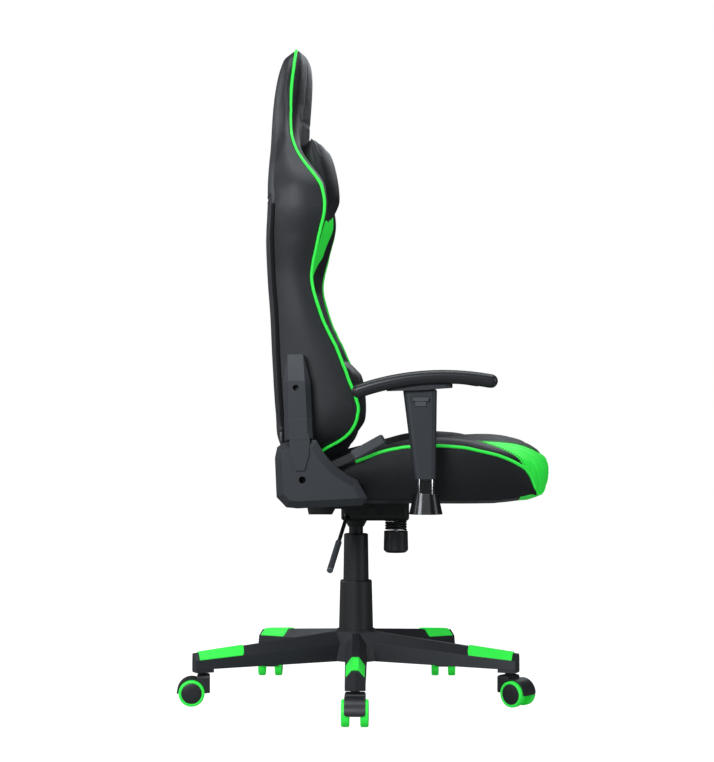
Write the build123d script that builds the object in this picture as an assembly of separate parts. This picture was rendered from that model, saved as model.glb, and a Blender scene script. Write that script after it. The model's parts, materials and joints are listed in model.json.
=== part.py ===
from build123d import *
import os
from math import cos, radians, sin

os.makedirs("parts", exist_ok=True)

# Gaming chair on a five-legged base. Millimetres, +Z up, the chair faces +X, its left side is +Y.
# The origin is on the floor, on the axis of the gas lift.

# Fits
slip = 0.3            # between soft or sliding faces
running_fit = 0.05    # radial clearance of a pin or shaft in its hole

# Star base
leg_count = 5
first_leg_angle = -89
caster_circle = 312   # radius of the caster stems
leg_tip = 331
hub_d = 75
hub_bottom = 75
hub_top = 135
leg_root_width = 44
leg_tip_width = 38
leg_tip_top = 99
leg_tip_bottom = 70
leg_crown_width = 13  # flat strip along the top of a leg
leg_facet_root = 23   # height of the sloping facets beside the crown, at the hub's axis
leg_facet_tip = 12
leg_draft = 2         # how much a leg's side spreads on each side, from its shoulder to its foot
leg_wall = 3.5
rib_wall = 2.5
cross_rib_count = 4
boss_bottom = 64
boss_length = 38
tip_point = 7         # how far the middle of a leg's end stands out
hub_web_foot = 51     # from the axis to the flat webs between the legs
hub_web_head = 38
hub_web_drop = 4

# Foot pads on the legs
pad_inner = 232
pad_outer = 320
pad_thick = 2
pad_round = 9

# Casters
wheel_r = 25
wheel_width = 15
wheel_gap = 20
wheel_round = 3.5
wheel_disc_r = 19.5
wheel_disc_step = 1.2
wheel_well_r = 12
wheel_well_depth = 5
axle_d = 6
axle_reach = 22
trail = 20
stem_d = 11
stem_low = 42
stem_high = 92
stem_collar_d = 17
hood_top = 59
hood_width = 38.5
hood_r = 28.5
hood_clearance = 1
hood_front = 15       # from the stem to the front of the hood
hood_round = 5
hood_sweep = -3       # how far above the axle the trailing lip ends, in degrees
carrier_r = 7
web_gap = 0.4
caster_headings = [-90, -40, 90, 90, 185]

# Gas lift
stand_tube_d = 44
stand_tube_wall = 2
stand_tube_bottom = 78
stand_tube_top = 215
stand_tube_floor = 3
guide_length = 60
pressure_tube_d = 28
pressure_tube_bore = 24.8
pressure_tube_bottom = 172
pressure_tube_top = 372
pressure_tube_floor = 8
valve_block = 34      # solid head of the pressure tube
rod_d = 10
rod_bottom = 74
rod_clip_d = 18
rod_clip = 3
piston_bottom = 184
piston_length = 14
valve_d = 8
valve_top = 378
valve_length = 27
valve_chamber = 8     # free depth under the valve pin

# Column covers
lower_cover_d = 68
lower_cover_top_d = 63
lower_cover_top = 231
cover_wall = 2
upper_cover_d = 51
upper_cover_top_d = 47.7
upper_cover_bottom = 217
upper_cover_top = 323
upper_cover_wall = 1.5
cover_gap = 0.8

# Tilt mechanism
housing_rear = -28
housing_front = 105
housing_half = 60
housing_bottom = 352
housing_wall = 3
housing_rear_top = 381
housing_front_top = 390
housing_round = 12
socket_d = 44
socket_mouth_d = 31
socket_mouth = 337
tilt_x = 32
tilt_z = 374
tilt_pin_d = 10
tilt_pin_head_d = 16
tilt_pin_head = 3
seat_bottom = 399
plate_thick = 4
plate_rear = -97
plate_front = 105
flange_gap = 2
flange_thick = 3
flange_eye_r = 11
flange_eye_depth = 13
flange_depth = 19
flange_tail_depth = 30
flange_tail = 52
flange_slant = 6
wing_half = 96
wing_length = 55
wing_round = 10

# Tilt tension
tension_x = 79
knob_d = 49
knob_top_d = 47
knob_round = 5
knob_bottom = 286
knob_top = 328
knob_flutes = 16
flute_d = 5
tension_bolt_d = 10
tension_bolt_bottom = 298
tension_hole_d = 27
spring_mean_d = 39
spring_wire = 5
spring_turns = 3.5

# Height lever
lever_pivot_y = -48
lever_pivot_z = 364
lever_pivot_d = 8
lever_rod_x = -16
lever_rod_d = 7.5
lever_end = (-43, -250, 274)
lever_grip_d = 12
lever_grip_share = 0.5
lever_slot_d = 13
lever_ear = 3
lever_ear_x = -8
paddle_thick = 3
paddle_half = 5
paddle_gap = 0.5

# Seat frame under the cushion
frame_tube = 24
tube_wall = 2
frame_rear = -68
frame_front = 262
frame_half = 185
frame_bar_x = (-56, 86)
bracket_block_front = 22
bracket_bolt_x = (-52, 4)
bolt_d = 8
bolt_head_d = 14
bolt_head = 5
plate_bolt_y = 82

# Seat cushion: for each station along X, half width, side piping, bolster crest, middle, underside
seat_stations = [
    (-72, 234, 452, 462, 458, 401),
    (0, 241, 474, 487, 478, 401),
    (60, 246, 496, 508, 488, 401),
    (130, 255, 505, 519, 496, 401),
    (200, 256, 503, 514, 504, 402),
    (260, 251, 490, 505, 512, 404),
    (310, 236, 469, 492, 509, 406),
    (350, 198, 448, 474, 491, 409),
    (377, 128, 434, 450, 458, 420),
]
bolster_width = 42
seat_side_tuck = 6
seat_flat_share = 0.4

# Recliner brackets and their covers
pivot_x = -92
pivot_z = 444
pivot_pin_d = 12
bracket_inner = 245
bracket_thick = 5
plate_gap = 0.3
bracket_inset = 5
back_plate_disc_r = 30
lower_cover_rim = 257
cover_outer = 286
cover_bevel = 9
lower_bevel_width = 14
lower_bevel_depth = 10
shell_wall = 3
arc_r = 76
arc_rear_angle = 128
arc_front_angle = 70
arc_gap = 1.5
screw_hole_d = 13
boss_d = 15
tongue_gap = 0.5
tongue_thick = 3
upper_screw = (-104, 613)
lower_screws = ((-24, 424), (-120, 412))
upper_band = (518, 556)
band_proud = 4
slope_low = 620
slope_high = 682
slope_depth = 11
lever_notch_margin = 14

# Outlines of the recliner covers, in X and Z
lower_waist = (-37, 474)
lower_foot = [(9, 443), (27, 411), (17, 397), (-101, 391), (-122, 393), (-140, 412), (-143, 484)]
upper_outline = [
    (-120, 674), (-91, 675), (-78, 624), (-73, 516), (-78, 500), (-120, 500), (-125, 516), (-127, 624),
]
tongue_outline = [
    (-115, 528), (-116, 516), (-113, 490), (-104, 461), (-88, 461), (-80, 488), (-78, 516), (-80, 528),
]
neck_rear = (-118, 505)
neck_front_corner = (-78, 505)

# Recline lever
lever_arm_inner = 257
pivot_pin_proud = 1
lever_arm_thick = 4
lever_arm_width = 14
lever_notch_gap = 1.5
recline_lever_angle = 25
recline_lever_reach = 100
recline_lever_travel = 30
grip_length = 68
grip_height = 20
grip_width = 15
grip_angle = 29
grip_round = 5
grip_bevel = 4
grip_tang_share = 0.7

# Armrests
arm_x = 134
arm_y = 312
post_width = 32
post_depth = 20
post_round = 9
post_top = 560
post_wall = 2
arm_bar_width = 45
arm_bar_thick = 6
arm_bar_overlap = 45  # how far the bar reaches in under the seat frame
arm_bolt_pitch = 19
cup_bottom = 384
cup_top = 421
cup_base = (61, 52)
cup_mouth = (44.5, 34)
cup_base_round = 22
cup_mouth_round = 16
sleeve_bottom = 448
sleeve_top = 609
sleeve_foot = (39, 40)
sleeve_foot_x = 132.5
sleeve_head = (61, 40)
sleeve_head_x = 123.5
sleeve_round = 9
sleeve_bore_top = 588
button_x = 124.5
button_ledge = (29, 7)
button_stem = (19.5, 9)
button_z = 589
button_proud = 5
button_body = 5
button_travel = 3
button_clearance = 1
arm_pad_rear = 0
arm_pad_front = 263
arm_pad_width = 88
arm_pad_thick = 25
arm_pad_neck = 11     # from the sleeve's top to the pad's underside, at the crown
arm_pad_crown_x = 140
arm_pad_rear_drop = 25
arm_pad_front_drop = 7
arm_pad_round = 10
pad_plate_rear = 63
pad_plate_front = 182
pad_plate_rear_drop = 2
pad_plate_front_rise = 4
pad_plate_width = 62
pad_plate_round = 14

# Backrest: for each station along Z, rear face, side piping, bolster front, middle front, half width
back_stations = [
    (505, -134, -50, -46, -66, 222),
    (530, -139, -8, -3, -52, 236),
    (572, -141, 8, 12, -44, 241),
    (627, -145, -7, -2, -52, 242),
    (680, -147, -27, -22, -64, 243),
    (750, -150, -59, -54, -86, 246),
    (820, -156, -76, -71, -102, 248),
    (890, -159, -63, -58, -106, 260),
    (950, -157, -51, -47, -106, 270),
    (1005, -152, -68, -63, -104, 264),
    (1050, -151, -100, -93, -102, 228),
    (1100, -151, -119, -107, -99, 176),
    (1150, -149, -122, -106, -94, 152),
    (1220, -139, -113, -98, -88, 146),
    (1247, -134, -113, -101, -91, 137),
    (1264, -131, -116, -105, -97, 119),
    (1275, -126, -116, -109, -103.5, 96),
    (1280, -121, -116.5, -113, -110, 78),
]
back_bolster_share = 0.18   # part of the half width that a bolster's crown takes
back_flat_share = 0.45
back_rear_round = 22
frame_x = -128
back_frame_tube = 18
back_frame_half = 170
back_frame_bottom = 545
back_frame_shoulder = 1000
back_frame_top = 1120
back_frame_neck_share = 0.55
back_boss_d = 22
back_boss_z = (560, 640)
back_boss_x = -104

# Pillows
neck_bottom = 940
neck_top = 1104
neck_front = -34
neck_width = 290
lumbar_bottom = 515
lumbar_top = 668
lumbar_front = 17
lumbar_width = 320


def upright(diameter, low, high, x=0, y=0):
    return Pos(x, y, low) * Cylinder(diameter / 2, high - low, align=(Align.CENTER, Align.CENTER, Align.MIN))


def block(x_low, x_high, y_low, y_high, z_low, z_high):
    corner = Pos(x_low, y_low, z_low)
    return corner * Box(x_high - x_low, y_high - y_low, z_high - z_low, align=Align.MIN)


def across(face, y_low, y_high):
    # a face drawn in X and Z, carried along Y
    return extrude(Plane.XZ.offset(-y_low) * face, amount=y_high - y_low, dir=(0, 1, 0))


def cross_pin(diameter, y_low, y_high, x, z):
    return across(Pos(x, z) * Circle(diameter / 2), y_low, y_high)


def turned(points):
    # an outline of radius and height, turned about the vertical axis
    return revolve(Plane.XZ * Polygon(*points, align=None), Axis.Z)


def both_sides(piece):
    return [piece, mirror(piece, about=Plane.XZ)]


def save(name, *pieces):
    solids = []
    for piece in pieces:
        solids.extend(piece.solids())
    export_step(solids[0] if len(solids) == 1 else Compound(children=solids), f"parts/{name}.step")


def at_leg(radius, low, high):
    # straight-line value along a leg, from the hub's axis to the leg's tip
    return low + (high - low) * radius / leg_tip


def leg_points(radius, bottom, lift=0):
    half = at_leg(radius, leg_root_width, leg_tip_width) / 2
    top = at_leg(radius, hub_top, leg_tip_top) + lift
    crown = leg_crown_width / 2
    shoulder = half - leg_draft
    edge = top - at_leg(radius, leg_facet_root, leg_facet_tip)
    return [(-half, bottom), (half, bottom), (shoulder, edge), (crown, top), (-crown, top), (-shoulder, edge)]


def leg_section(radius, points):
    return Plane(origin=(radius, 0, 0), x_dir=(0, 1, 0), z_dir=(1, 0, 0)) * Polygon(*points, align=None)


def leg_beam(inner, outer, inner_bottom, outer_bottom):
    root = leg_section(inner, leg_points(inner, inner_bottom))
    tip = leg_section(outer, leg_points(outer, outer_bottom))
    return loft([root, tip], ruled=True)


def hollow_points(radius):
    half = at_leg(radius, leg_root_width, leg_tip_width) / 2 - leg_wall
    top = at_leg(radius, hub_top, leg_tip_top) - leg_wall
    crown = leg_crown_width / 2 - leg_wall / 2
    shoulder = half - leg_draft
    edge = top - at_leg(radius, leg_facet_root, leg_facet_tip)
    below = leg_tip_bottom - leg_wall
    return [(-half, below), (half, below), (shoulder, edge), (crown, top), (-crown, top), (-shoulder, edge)]


def make_leg():
    hub_r = hub_d / 2
    boss_inner = leg_tip - boss_length
    beam = leg_beam(hub_r / 2, leg_tip, hub_bottom, leg_tip_bottom)
    half = leg_tip_width
    end = [(leg_tip - tip_point, -half), (leg_tip, 0), (leg_tip - tip_point, half)]
    reach = extrude(Polygon((0, -half), *end, (0, half), align=None), amount=hub_top)
    boss_plan = extrude(Polygon((boss_inner, -half), *end, (boss_inner, half), align=None), amount=hub_top)
    boss = leg_beam(boss_inner - boss_length, leg_tip, boss_bottom, boss_bottom) & boss_plan
    hollow_start = hub_r + leg_wall
    hollow_end = boss_inner - leg_wall
    ends = [leg_section(r, hollow_points(r)) for r in (hollow_start, hollow_end)]
    hollow = loft(ends, ruled=True)
    solid_leg = (beam & reach) + boss
    spine = block(hub_r, boss_inner, -rib_wall / 2, rib_wall / 2, leg_tip_bottom, hub_top)
    step = (hollow_end - hollow_start) / (cross_rib_count + 1)
    for number in range(cross_rib_count):
        middle = hollow_start + step * (number + 1)
        spine += block(middle - rib_wall / 2, middle + rib_wall / 2, -half, half, leg_tip_bottom, hub_top)
    return (solid_leg - hollow) + (spine & beam)


def leg_places():
    return [first_leg_angle + 360 / leg_count * number for number in range(leg_count)]


def hub_web(apothem, z):
    # a many-sided plate with its corners under the legs
    reach = apothem / cos(radians(180 / leg_count))
    corners = [(reach * cos(radians(angle)), reach * sin(radians(angle))) for angle in leg_places()]
    return Pos(0, 0, z) * Polygon(*corners, align=None)


def make_star_base():
    leg = make_leg()
    webs = [hub_web(hub_web_foot, hub_bottom), hub_web(hub_web_head, hub_top - hub_web_drop)]
    base = upright(hub_d, hub_bottom, hub_top) + loft(webs, ruled=True)
    for angle in leg_places():
        base += Rot(0, 0, angle) * leg
    base -= upright(stand_tube_d + 2 * running_fit, 0, hub_top + 1)
    for angle in leg_places():
        base -= Rot(0, 0, angle) * upright(stem_d + 2 * running_fit, 0, stem_high + slip, caster_circle)
    return base


def make_leg_pad():
    def hat(radius):
        outer = leg_points(radius, 0, pad_thick)
        inner = leg_points(radius, 0, running_fit)
        return leg_section(radius, [inner[2], *outer[2:6], inner[5], inner[4], inner[3]])

    shell = loft([hat(pad_inner), hat(pad_outer)], ruled=True)
    plan = Pos((pad_inner + pad_outer) / 2, 0) * Rectangle(pad_outer - pad_inner, leg_tip_width + pad_thick)
    inner_corners = plan.vertices().sort_by(Axis.X)[:2]
    return shell & extrude(fillet(inner_corners, pad_round), amount=hub_top)


def make_hood():
    axle = Pos(trail, wheel_r)
    low = wheel_r + hood_r * sin(radians(hood_sweep))
    upper_half = Pos(trail, low) * Rectangle(3 * hood_r, 2 * hood_r, align=(Align.CENTER, Align.MIN))
    fender = axle * Circle(hood_r) & upper_half
    nose = Pos(-hood_front, wheel_r) * Rectangle(hood_front + trail / 2, hood_top - wheel_r, align=Align.MIN)
    nose = fillet(nose.vertices().sort_by(Axis.Y)[-2:], hood_round)
    body = across((fender + nose).face(), -hood_width / 2, hood_width / 2)
    tall = hood_top - low
    end = Plane.YZ * Pos(0, low + tall / 2) * RectangleRounded(hood_width, tall, hood_round)
    body = body & extrude(end, amount=3 * hood_r, both=True)
    web = wheel_gap / 2 - web_gap
    for side in (-1, 1):
        edges = sorted((side * web, side * hood_width))
        body -= cross_pin(2 * (wheel_r + hood_clearance), edges[0], edges[1], trail, wheel_r)
    body += cross_pin(2 * carrier_r, -web, web, trail, wheel_r)
    body -= cross_pin(axle_d + 2 * running_fit, -hood_width, hood_width, trail, wheel_r)
    return body - upright(stem_d + 2 * running_fit, stem_low, hood_top + 1)


def make_caster_pins():
    stem = upright(stem_d, stem_low, stem_high)
    collar = upright(stem_collar_d, hood_top, boss_bottom - slip)
    axle = cross_pin(axle_d, -axle_reach, axle_reach, trail, wheel_r)
    return stem + collar, axle


def make_wheel():
    # the tread is at +Y of the web, turned about the axle
    bore = axle_d / 2 + running_fit
    blind = axle_reach - wheel_gap / 2 + slip
    w = wheel_width
    face = Polygon(
        (0, blind), (bore, blind), (bore, 0), (wheel_well_r - 3, 0), (wheel_well_r, wheel_well_depth),
        (wheel_disc_r, wheel_well_depth), (wheel_disc_r + 1, 0), (wheel_r - wheel_round / 2, 0),
        (wheel_r, wheel_round), (wheel_r, w - wheel_round), (wheel_r - wheel_round / 2, w - wheel_round / 4),
        (wheel_disc_r + wheel_disc_step, w), (wheel_disc_r, w - wheel_disc_step),
        (0, w - wheel_disc_step / 2),
        align=None,
    )
    wheel = revolve(face, Axis.Y)
    return Pos(trail, wheel_gap / 2, wheel_r) * wheel


def make_casters():
    hood = make_hood()
    stem, axle = make_caster_pins()
    left = make_wheel()
    right = mirror(left, about=Plane.XZ)
    for number, angle in enumerate(leg_places()):
        x = caster_circle * cos(radians(angle))
        y = caster_circle * sin(radians(angle))
        place = Pos(x, y, 0) * Rot(0, 0, caster_headings[number])
        save(f"caster_hood_{number + 1}", place * hood)
        save(f"caster_pins_{number + 1}", place * stem, place * axle)
        save(f"caster_wheel_{number + 1}_left", place * left)
        save(f"caster_wheel_{number + 1}_right", place * right)


def make_stand_tube():
    outer = stand_tube_d / 2
    bore = outer - stand_tube_wall
    guide = pressure_tube_d / 2 + running_fit
    hole = rod_d / 2 + running_fit
    floor = stand_tube_bottom + stand_tube_floor
    shoulder = stand_tube_top - guide_length
    return turned([
        (hole, stand_tube_bottom), (outer, stand_tube_bottom), (outer, stand_tube_top),
        (guide, stand_tube_top),
        (guide, shoulder), (bore, shoulder - 2), (bore, floor), (hole, floor),
    ])


def make_piston_rod():
    shaft = rod_d / 2
    clip = rod_clip_d / 2
    head = pressure_tube_bore / 2 - running_fit
    above = stand_tube_bottom + stand_tube_floor + slip
    below = stand_tube_bottom - slip
    return turned([
        (0, rod_bottom), (clip, rod_bottom), (clip, below), (shaft, below), (shaft, above), (clip, above),
        (clip, above + rod_clip), (shaft, above + rod_clip), (shaft, piston_bottom), (head, piston_bottom),
        (head, piston_bottom + piston_length), (0, piston_bottom + piston_length),
    ])


def make_pressure_tube():
    outer = pressure_tube_d / 2
    bore = pressure_tube_bore / 2
    gland = rod_d / 2 + running_fit
    valve = valve_d / 2 + running_fit
    chamber = valve_top - valve_length - valve_chamber
    inside = pressure_tube_top - valve_block
    low = pressure_tube_bottom + pressure_tube_floor
    return turned([
        (gland, pressure_tube_bottom), (outer, pressure_tube_bottom), (outer, pressure_tube_top),
        (valve, pressure_tube_top), (valve, chamber), (0, chamber), (0, inside), (bore, inside), (bore, low),
        (gland, low),
    ])


def make_lower_cover():
    foot = lower_cover_d / 2
    head = lower_cover_top_d / 2
    mouth = upper_cover_d / 2 + cover_gap
    top = lower_cover_top
    return turned([
        (foot - cover_wall, hub_top), (foot, hub_top), (head, top - cover_wall), (head - cover_wall / 2, top),
        (mouth, top), (mouth, top - cover_wall), (head - cover_wall, top - 2 * cover_wall),
    ])


def make_upper_cover():
    foot = upper_cover_d / 2
    head = upper_cover_top_d / 2
    collar = pressure_tube_d / 2 + running_fit
    wall = upper_cover_wall
    top = upper_cover_top
    return turned([
        (foot - wall, upper_cover_bottom), (foot, upper_cover_bottom), (head, top - wall), (head - wall, top),
        (collar, top), (collar, top - 2 * wall), (head - wall, top - 2 * wall),
    ])


def make_housing():
    w = housing_wall
    high = housing_front_top
    side = Polygon(
        (housing_rear, housing_bottom), (housing_front, housing_bottom), (housing_front, high),
        (tilt_x, high),
        (housing_rear, housing_rear_top), align=None,
    )
    body = across(side, -housing_half, housing_half)
    body = fillet(body.edges().filter_by(Axis.Y).group_by(Axis.Z)[0], housing_round / 2)
    body = fillet(body.edges().filter_by(Axis.Z), housing_round)
    inside_x = (housing_rear + w, housing_front - w)
    inside_y = housing_half - w
    inside = block(*inside_x, -inside_y, inside_y, housing_bottom + w, high + 1)
    body -= fillet(inside.edges().filter_by(Axis.Z), housing_round - w)
    outer = socket_d / 2
    bore = pressure_tube_d / 2 + running_fit
    socket = turned([
        (bore, socket_mouth), (socket_mouth_d / 2, socket_mouth), (outer, housing_bottom - w),
        (outer + w, housing_bottom), (outer, housing_bottom + 2 * w), (outer - w, pressure_tube_top),
        (bore, pressure_tube_top),
    ])
    body = body - upright(socket_d, socket_mouth, pressure_tube_top) + socket
    ear_low = housing_bottom + w / 2
    ear_high = lever_pivot_z + lever_pivot_d
    ear_x = (lever_ear_x, lever_ear_x + lever_ear)
    body += block(*ear_x, -inside_y - w / 2, lever_pivot_y + lever_pivot_d, ear_low, ear_high)
    body -= upright(tension_hole_d, socket_mouth, housing_bottom + 2 * w, tension_x)
    body -= cross_pin(tilt_pin_d + 2 * running_fit, -housing_half - 1, housing_half + 1, tilt_x, tilt_z)
    pivot = Plane(origin=(housing_rear - 1, lever_pivot_y, lever_pivot_z), z_dir=(1, 0, 0))
    body -= extrude(pivot * Circle(lever_pivot_d / 2 + running_fit), amount=ear_x[1] + 2 - housing_rear)
    wall_spot = lever_line_at(-housing_half + w / 2)
    return body - cross_pin(lever_slot_d, -housing_half - 1, lever_pivot_y, wall_spot[0], wall_spot[2])


def lever_line_at(y):
    # a point on the height lever's rod, for a distance out from the middle
    share = (y - lever_pivot_y) / (lever_end[1] - lever_pivot_y)
    x = lever_rod_x + share * (lever_end[0] - lever_rod_x)
    return (x, y, lever_pivot_z + share * (lever_end[2] - lever_pivot_z))


def rod_between(start, end, diameter):
    run = Vector(*end) - Vector(*start)
    return extrude(Plane(origin=start, z_dir=run) * Circle(diameter / 2), amount=run.length)


def make_height_lever():
    start = (lever_rod_x, lever_pivot_y, lever_pivot_z)
    rod = rod_between(start, lever_line_at(lever_end[1] + lever_grip_d), lever_rod_d)
    axle_rear = housing_rear + running_fit
    axle = extrude(
        Plane(origin=(axle_rear, lever_pivot_y, lever_pivot_z), z_dir=(1, 0, 0)) * Circle(lever_pivot_d / 2),
        amount=lever_ear_x + lever_ear - axle_rear,
    )
    low = valve_top + paddle_gap
    rise = Polygon(
        (lever_pivot_y - 2, lever_pivot_z), (lever_pivot_y + 3, lever_pivot_z), (-socket_d / 2, low - 3),
        (valve_d, low), (valve_d, low + paddle_thick), (-socket_d / 2 - 2, low + paddle_thick - 3),
        align=None,
    )
    middle = lever_ear_x - slip - 2 * paddle_half
    start = Plane(origin=(middle, 0, 0), z_dir=(1, 0, 0), x_dir=(0, 1, 0))
    arm = extrude(start * rise, amount=2 * paddle_half)
    reach = block(middle, paddle_half, -valve_d, valve_d, low, low + paddle_thick)
    return rod + axle + arm + reach


def make_height_grip():
    start = lever_line_at(lever_pivot_y + (lever_end[1] - lever_pivot_y) * lever_grip_share)
    body = rod_between(start, lever_end, lever_grip_d)
    body = chamfer(body.edges().filter_by(GeomType.CIRCLE), 1.5)
    core = rod_between(start, lever_line_at(lever_end[1] + lever_grip_d), lever_rod_d + 2 * running_fit)
    return body - core


def make_seat_plate():
    under = seat_bottom - plate_thick
    inner = housing_half + flange_gap
    outer = inner + flange_thick
    plate = block(plate_rear, plate_front, -outer, outer, under, seat_bottom)
    for start in (plate_rear, plate_front - wing_length):
        wing = block(start, start + wing_length, -wing_half, wing_half, under, seat_bottom)
        plate += fillet(wing.edges().filter_by(Axis.Z), wing_round)
    eye = flange_eye_r
    slant = flange_slant
    low = under - flange_tail_depth
    middle = under - flange_depth
    eye_low = tilt_z - flange_eye_depth
    tail = plate_rear + flange_tail
    cheek = Polygon(
        (plate_rear, under), (plate_rear + slant, low), (tail, low), (tail + slant, middle),
        (tilt_x - eye - slant, middle), (tilt_x - eye, eye_low), (tilt_x + eye, eye_low),
        (tilt_x + eye + slant, middle), (plate_front, middle + slant), (plate_front, under), align=None,
    )
    for side in both_sides(across(cheek, inner, outer)):
        plate += side
    plate -= cross_pin(tilt_pin_d + 2 * running_fit, -outer - 1, outer + 1, tilt_x, tilt_z)
    plate -= upright(tension_bolt_d + 2 * running_fit, under - 1, seat_bottom + 1, tension_x)
    for x, y in plate_bolt_places():
        plate -= upright(bolt_d + 2 * running_fit, under - 1, seat_bottom + 1, x, y)
    return plate


def plate_bolt_places():
    return [(x, side * plate_bolt_y) for x in frame_bar_x for side in (-1, 1)]


def make_tilt_pin():
    outer = housing_half + flange_gap + flange_thick + slip
    pin = cross_pin(tilt_pin_d, -outer - tilt_pin_head, outer + tilt_pin_head, tilt_x, tilt_z)
    for side in both_sides(cross_pin(tilt_pin_head_d, outer, outer + tilt_pin_head, tilt_x, tilt_z)):
        pin += side
    return pin


def make_knob():
    body = turned([
        (0, knob_bottom), (knob_d / 2 - knob_round, knob_bottom), (knob_d / 2, knob_bottom + knob_round),
        (knob_top_d / 2, knob_top), (0, knob_top),
    ])
    body -= upright(tension_bolt_d + 2 * running_fit, tension_bolt_bottom - slip, knob_top + 1)
    for number in range(knob_flutes):
        angle = radians(360 / knob_flutes * number)
        r = knob_d / 2 + flute_d / 4
        body -= upright(flute_d, knob_bottom - 1, knob_top - 4, r * cos(angle), r * sin(angle))
    return Pos(tension_x, 0, 0) * body


def make_tension_spring():
    room = housing_bottom - knob_top - 2 * slip
    height = room - spring_wire
    r = spring_mean_d / 2
    path = Helix(height / spring_turns, height, r)
    start = Plane(origin=path @ 0, z_dir=path % 0)
    coil = sweep(start * RegularPolygon(spring_wire / 2, 6), path=path, is_frenet=True)
    return Pos(tension_x, 0, knob_top + slip + spring_wire / 2) * coil


def frame_pieces(grow):
    # welded tubes under the cushion; grow widens them into the pocket that takes them
    top = seat_bottom + frame_tube + grow
    low = seat_bottom
    t = frame_tube
    rails = []
    for side in (-1, 1):
        y = side * frame_half
        ends = sorted((y, y - side * t))
        rails.append((frame_rear, frame_front, ends[0], ends[1]))
        blocks = sorted((side * bracket_inner, side * (frame_half - t)))
        rails.append((frame_rear, bracket_block_front, blocks[0], blocks[1]))
    for x in (frame_rear, frame_front - t):
        rails.append((x, x + t, -frame_half, frame_half))
    for x in (frame_bar_x[1], arm_x):
        rails.append((x - t / 2, x + t / 2, -frame_half, frame_half))
    return [block(a - grow, b + grow, c - grow, d + grow, low - grow, top) for a, b, c, d in rails]


def joined(pieces):
    whole = pieces[0]
    for piece in pieces[1:]:
        whole += piece
    return whole


def bracket_bolt_places():
    z = seat_bottom + frame_tube / 2
    return [(x, z) for x in bracket_bolt_x]


def arm_bolt_y():
    outer = frame_half - frame_tube / 2
    return [outer, outer - arm_bolt_pitch]


def make_seat_frame():
    frame = joined(frame_pieces(0)) - joined(frame_pieces(-tube_wall))
    hole = bolt_d + 2 * running_fit
    hole_top = seat_bottom + frame_tube - 2 * tube_wall
    for x, y in plate_bolt_places():
        frame -= upright(hole, seat_bottom - 1, hole_top, x, y)
    for side in (-1, 1):
        for y in arm_bolt_y():
            frame -= upright(hole, seat_bottom - 1, hole_top, arm_x, side * y)
        for x, z in bracket_bolt_places():
            ends = sorted((side * (bracket_inner + 1), side * (bracket_inner - frame_tube)))
            frame -= cross_pin(hole, ends[0], ends[1], x, z)
    return frame


def make_seat_bolts():
    bolts = []
    top = seat_bottom + frame_tube - 2 * tube_wall - 1
    under = seat_bottom - plate_thick
    for x, y in plate_bolt_places():
        bolts.append(upright(bolt_d, under, top, x, y) + upright(bolt_head_d, under - bolt_head, under, x, y))
    low = seat_bottom - arm_bar_thick
    for side in (-1, 1):
        for y in arm_bolt_y():
            shank = upright(bolt_d, low, top, arm_x, side * y)
            bolts.append(shank + upright(bolt_head_d, low - bolt_head, low, arm_x, side * y))
    outer = bracket_inner + bracket_thick
    for x, z in bracket_bolt_places():
        shank = cross_pin(bolt_d, bracket_inner - frame_tube + 1, outer, x, z)
        bolts.extend(both_sides(shank + cross_pin(bolt_head_d, outer, outer + bolt_head, x, z)))
    return bolts


def seat_section(station):
    x, half, piping, crest, middle, under = station
    right = half - bolster_width
    flat = half * seat_flat_share
    top = Spline(
        (half, piping), (right, crest), (flat, middle), (-flat, middle), (-right, crest), (-half, piping)
    )
    foot = half - seat_side_tuck
    rest = Polyline((-half, piping), (-foot, under), (foot, under), (half, piping))
    return Plane(origin=(x, 0, 0), x_dir=(0, 1, 0), z_dir=(1, 0, 0)) * make_face(Curve() + [top, rest])


def make_seat_cushion():
    cushion = loft([seat_section(station) for station in seat_stations])
    return cushion - joined(frame_pieces(slip))


def pivot_point(radius, angle):
    return (pivot_x + radius * cos(radians(angle)), pivot_z + radius * sin(radians(angle)))


def lower_cover_face():
    rear = pivot_point(arc_r, arc_rear_angle)
    front = pivot_point(arc_r, arc_front_angle)
    top = pivot_point(arc_r, (arc_rear_angle + arc_front_angle) / 2)
    crown = ThreePointArc(rear, top, front)
    waist = ThreePointArc(front, lower_waist, lower_foot[0])
    foot = Polyline(*lower_foot, rear)
    return make_face(Curve() + [crown, waist, foot])


def make_seat_bracket():
    face = offset(lower_cover_face(), -bracket_inset)
    outer = bracket_inner + bracket_thick
    plate = across(face, bracket_inner, outer)
    plate -= cross_pin(pivot_pin_d + 2 * running_fit, bracket_inner - 1, outer + 1, pivot_x, pivot_z)
    for x, z in bracket_bolt_places():
        plate -= cross_pin(bolt_d + 2 * running_fit, bracket_inner - 1, outer + 1, x, z)
    return plate


def bevelled(face, inner, outer, depth, width):
    # a plate carried along Y whose outer face is drawn in all round by a bevel
    flat = across(face, inner, outer - depth)
    base = Plane.XZ.offset(-(outer - depth)) * face
    crown = loft([base, Plane.XZ.offset(-outer) * offset(face, -width)], ruled=True)
    return flat + crown


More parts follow.
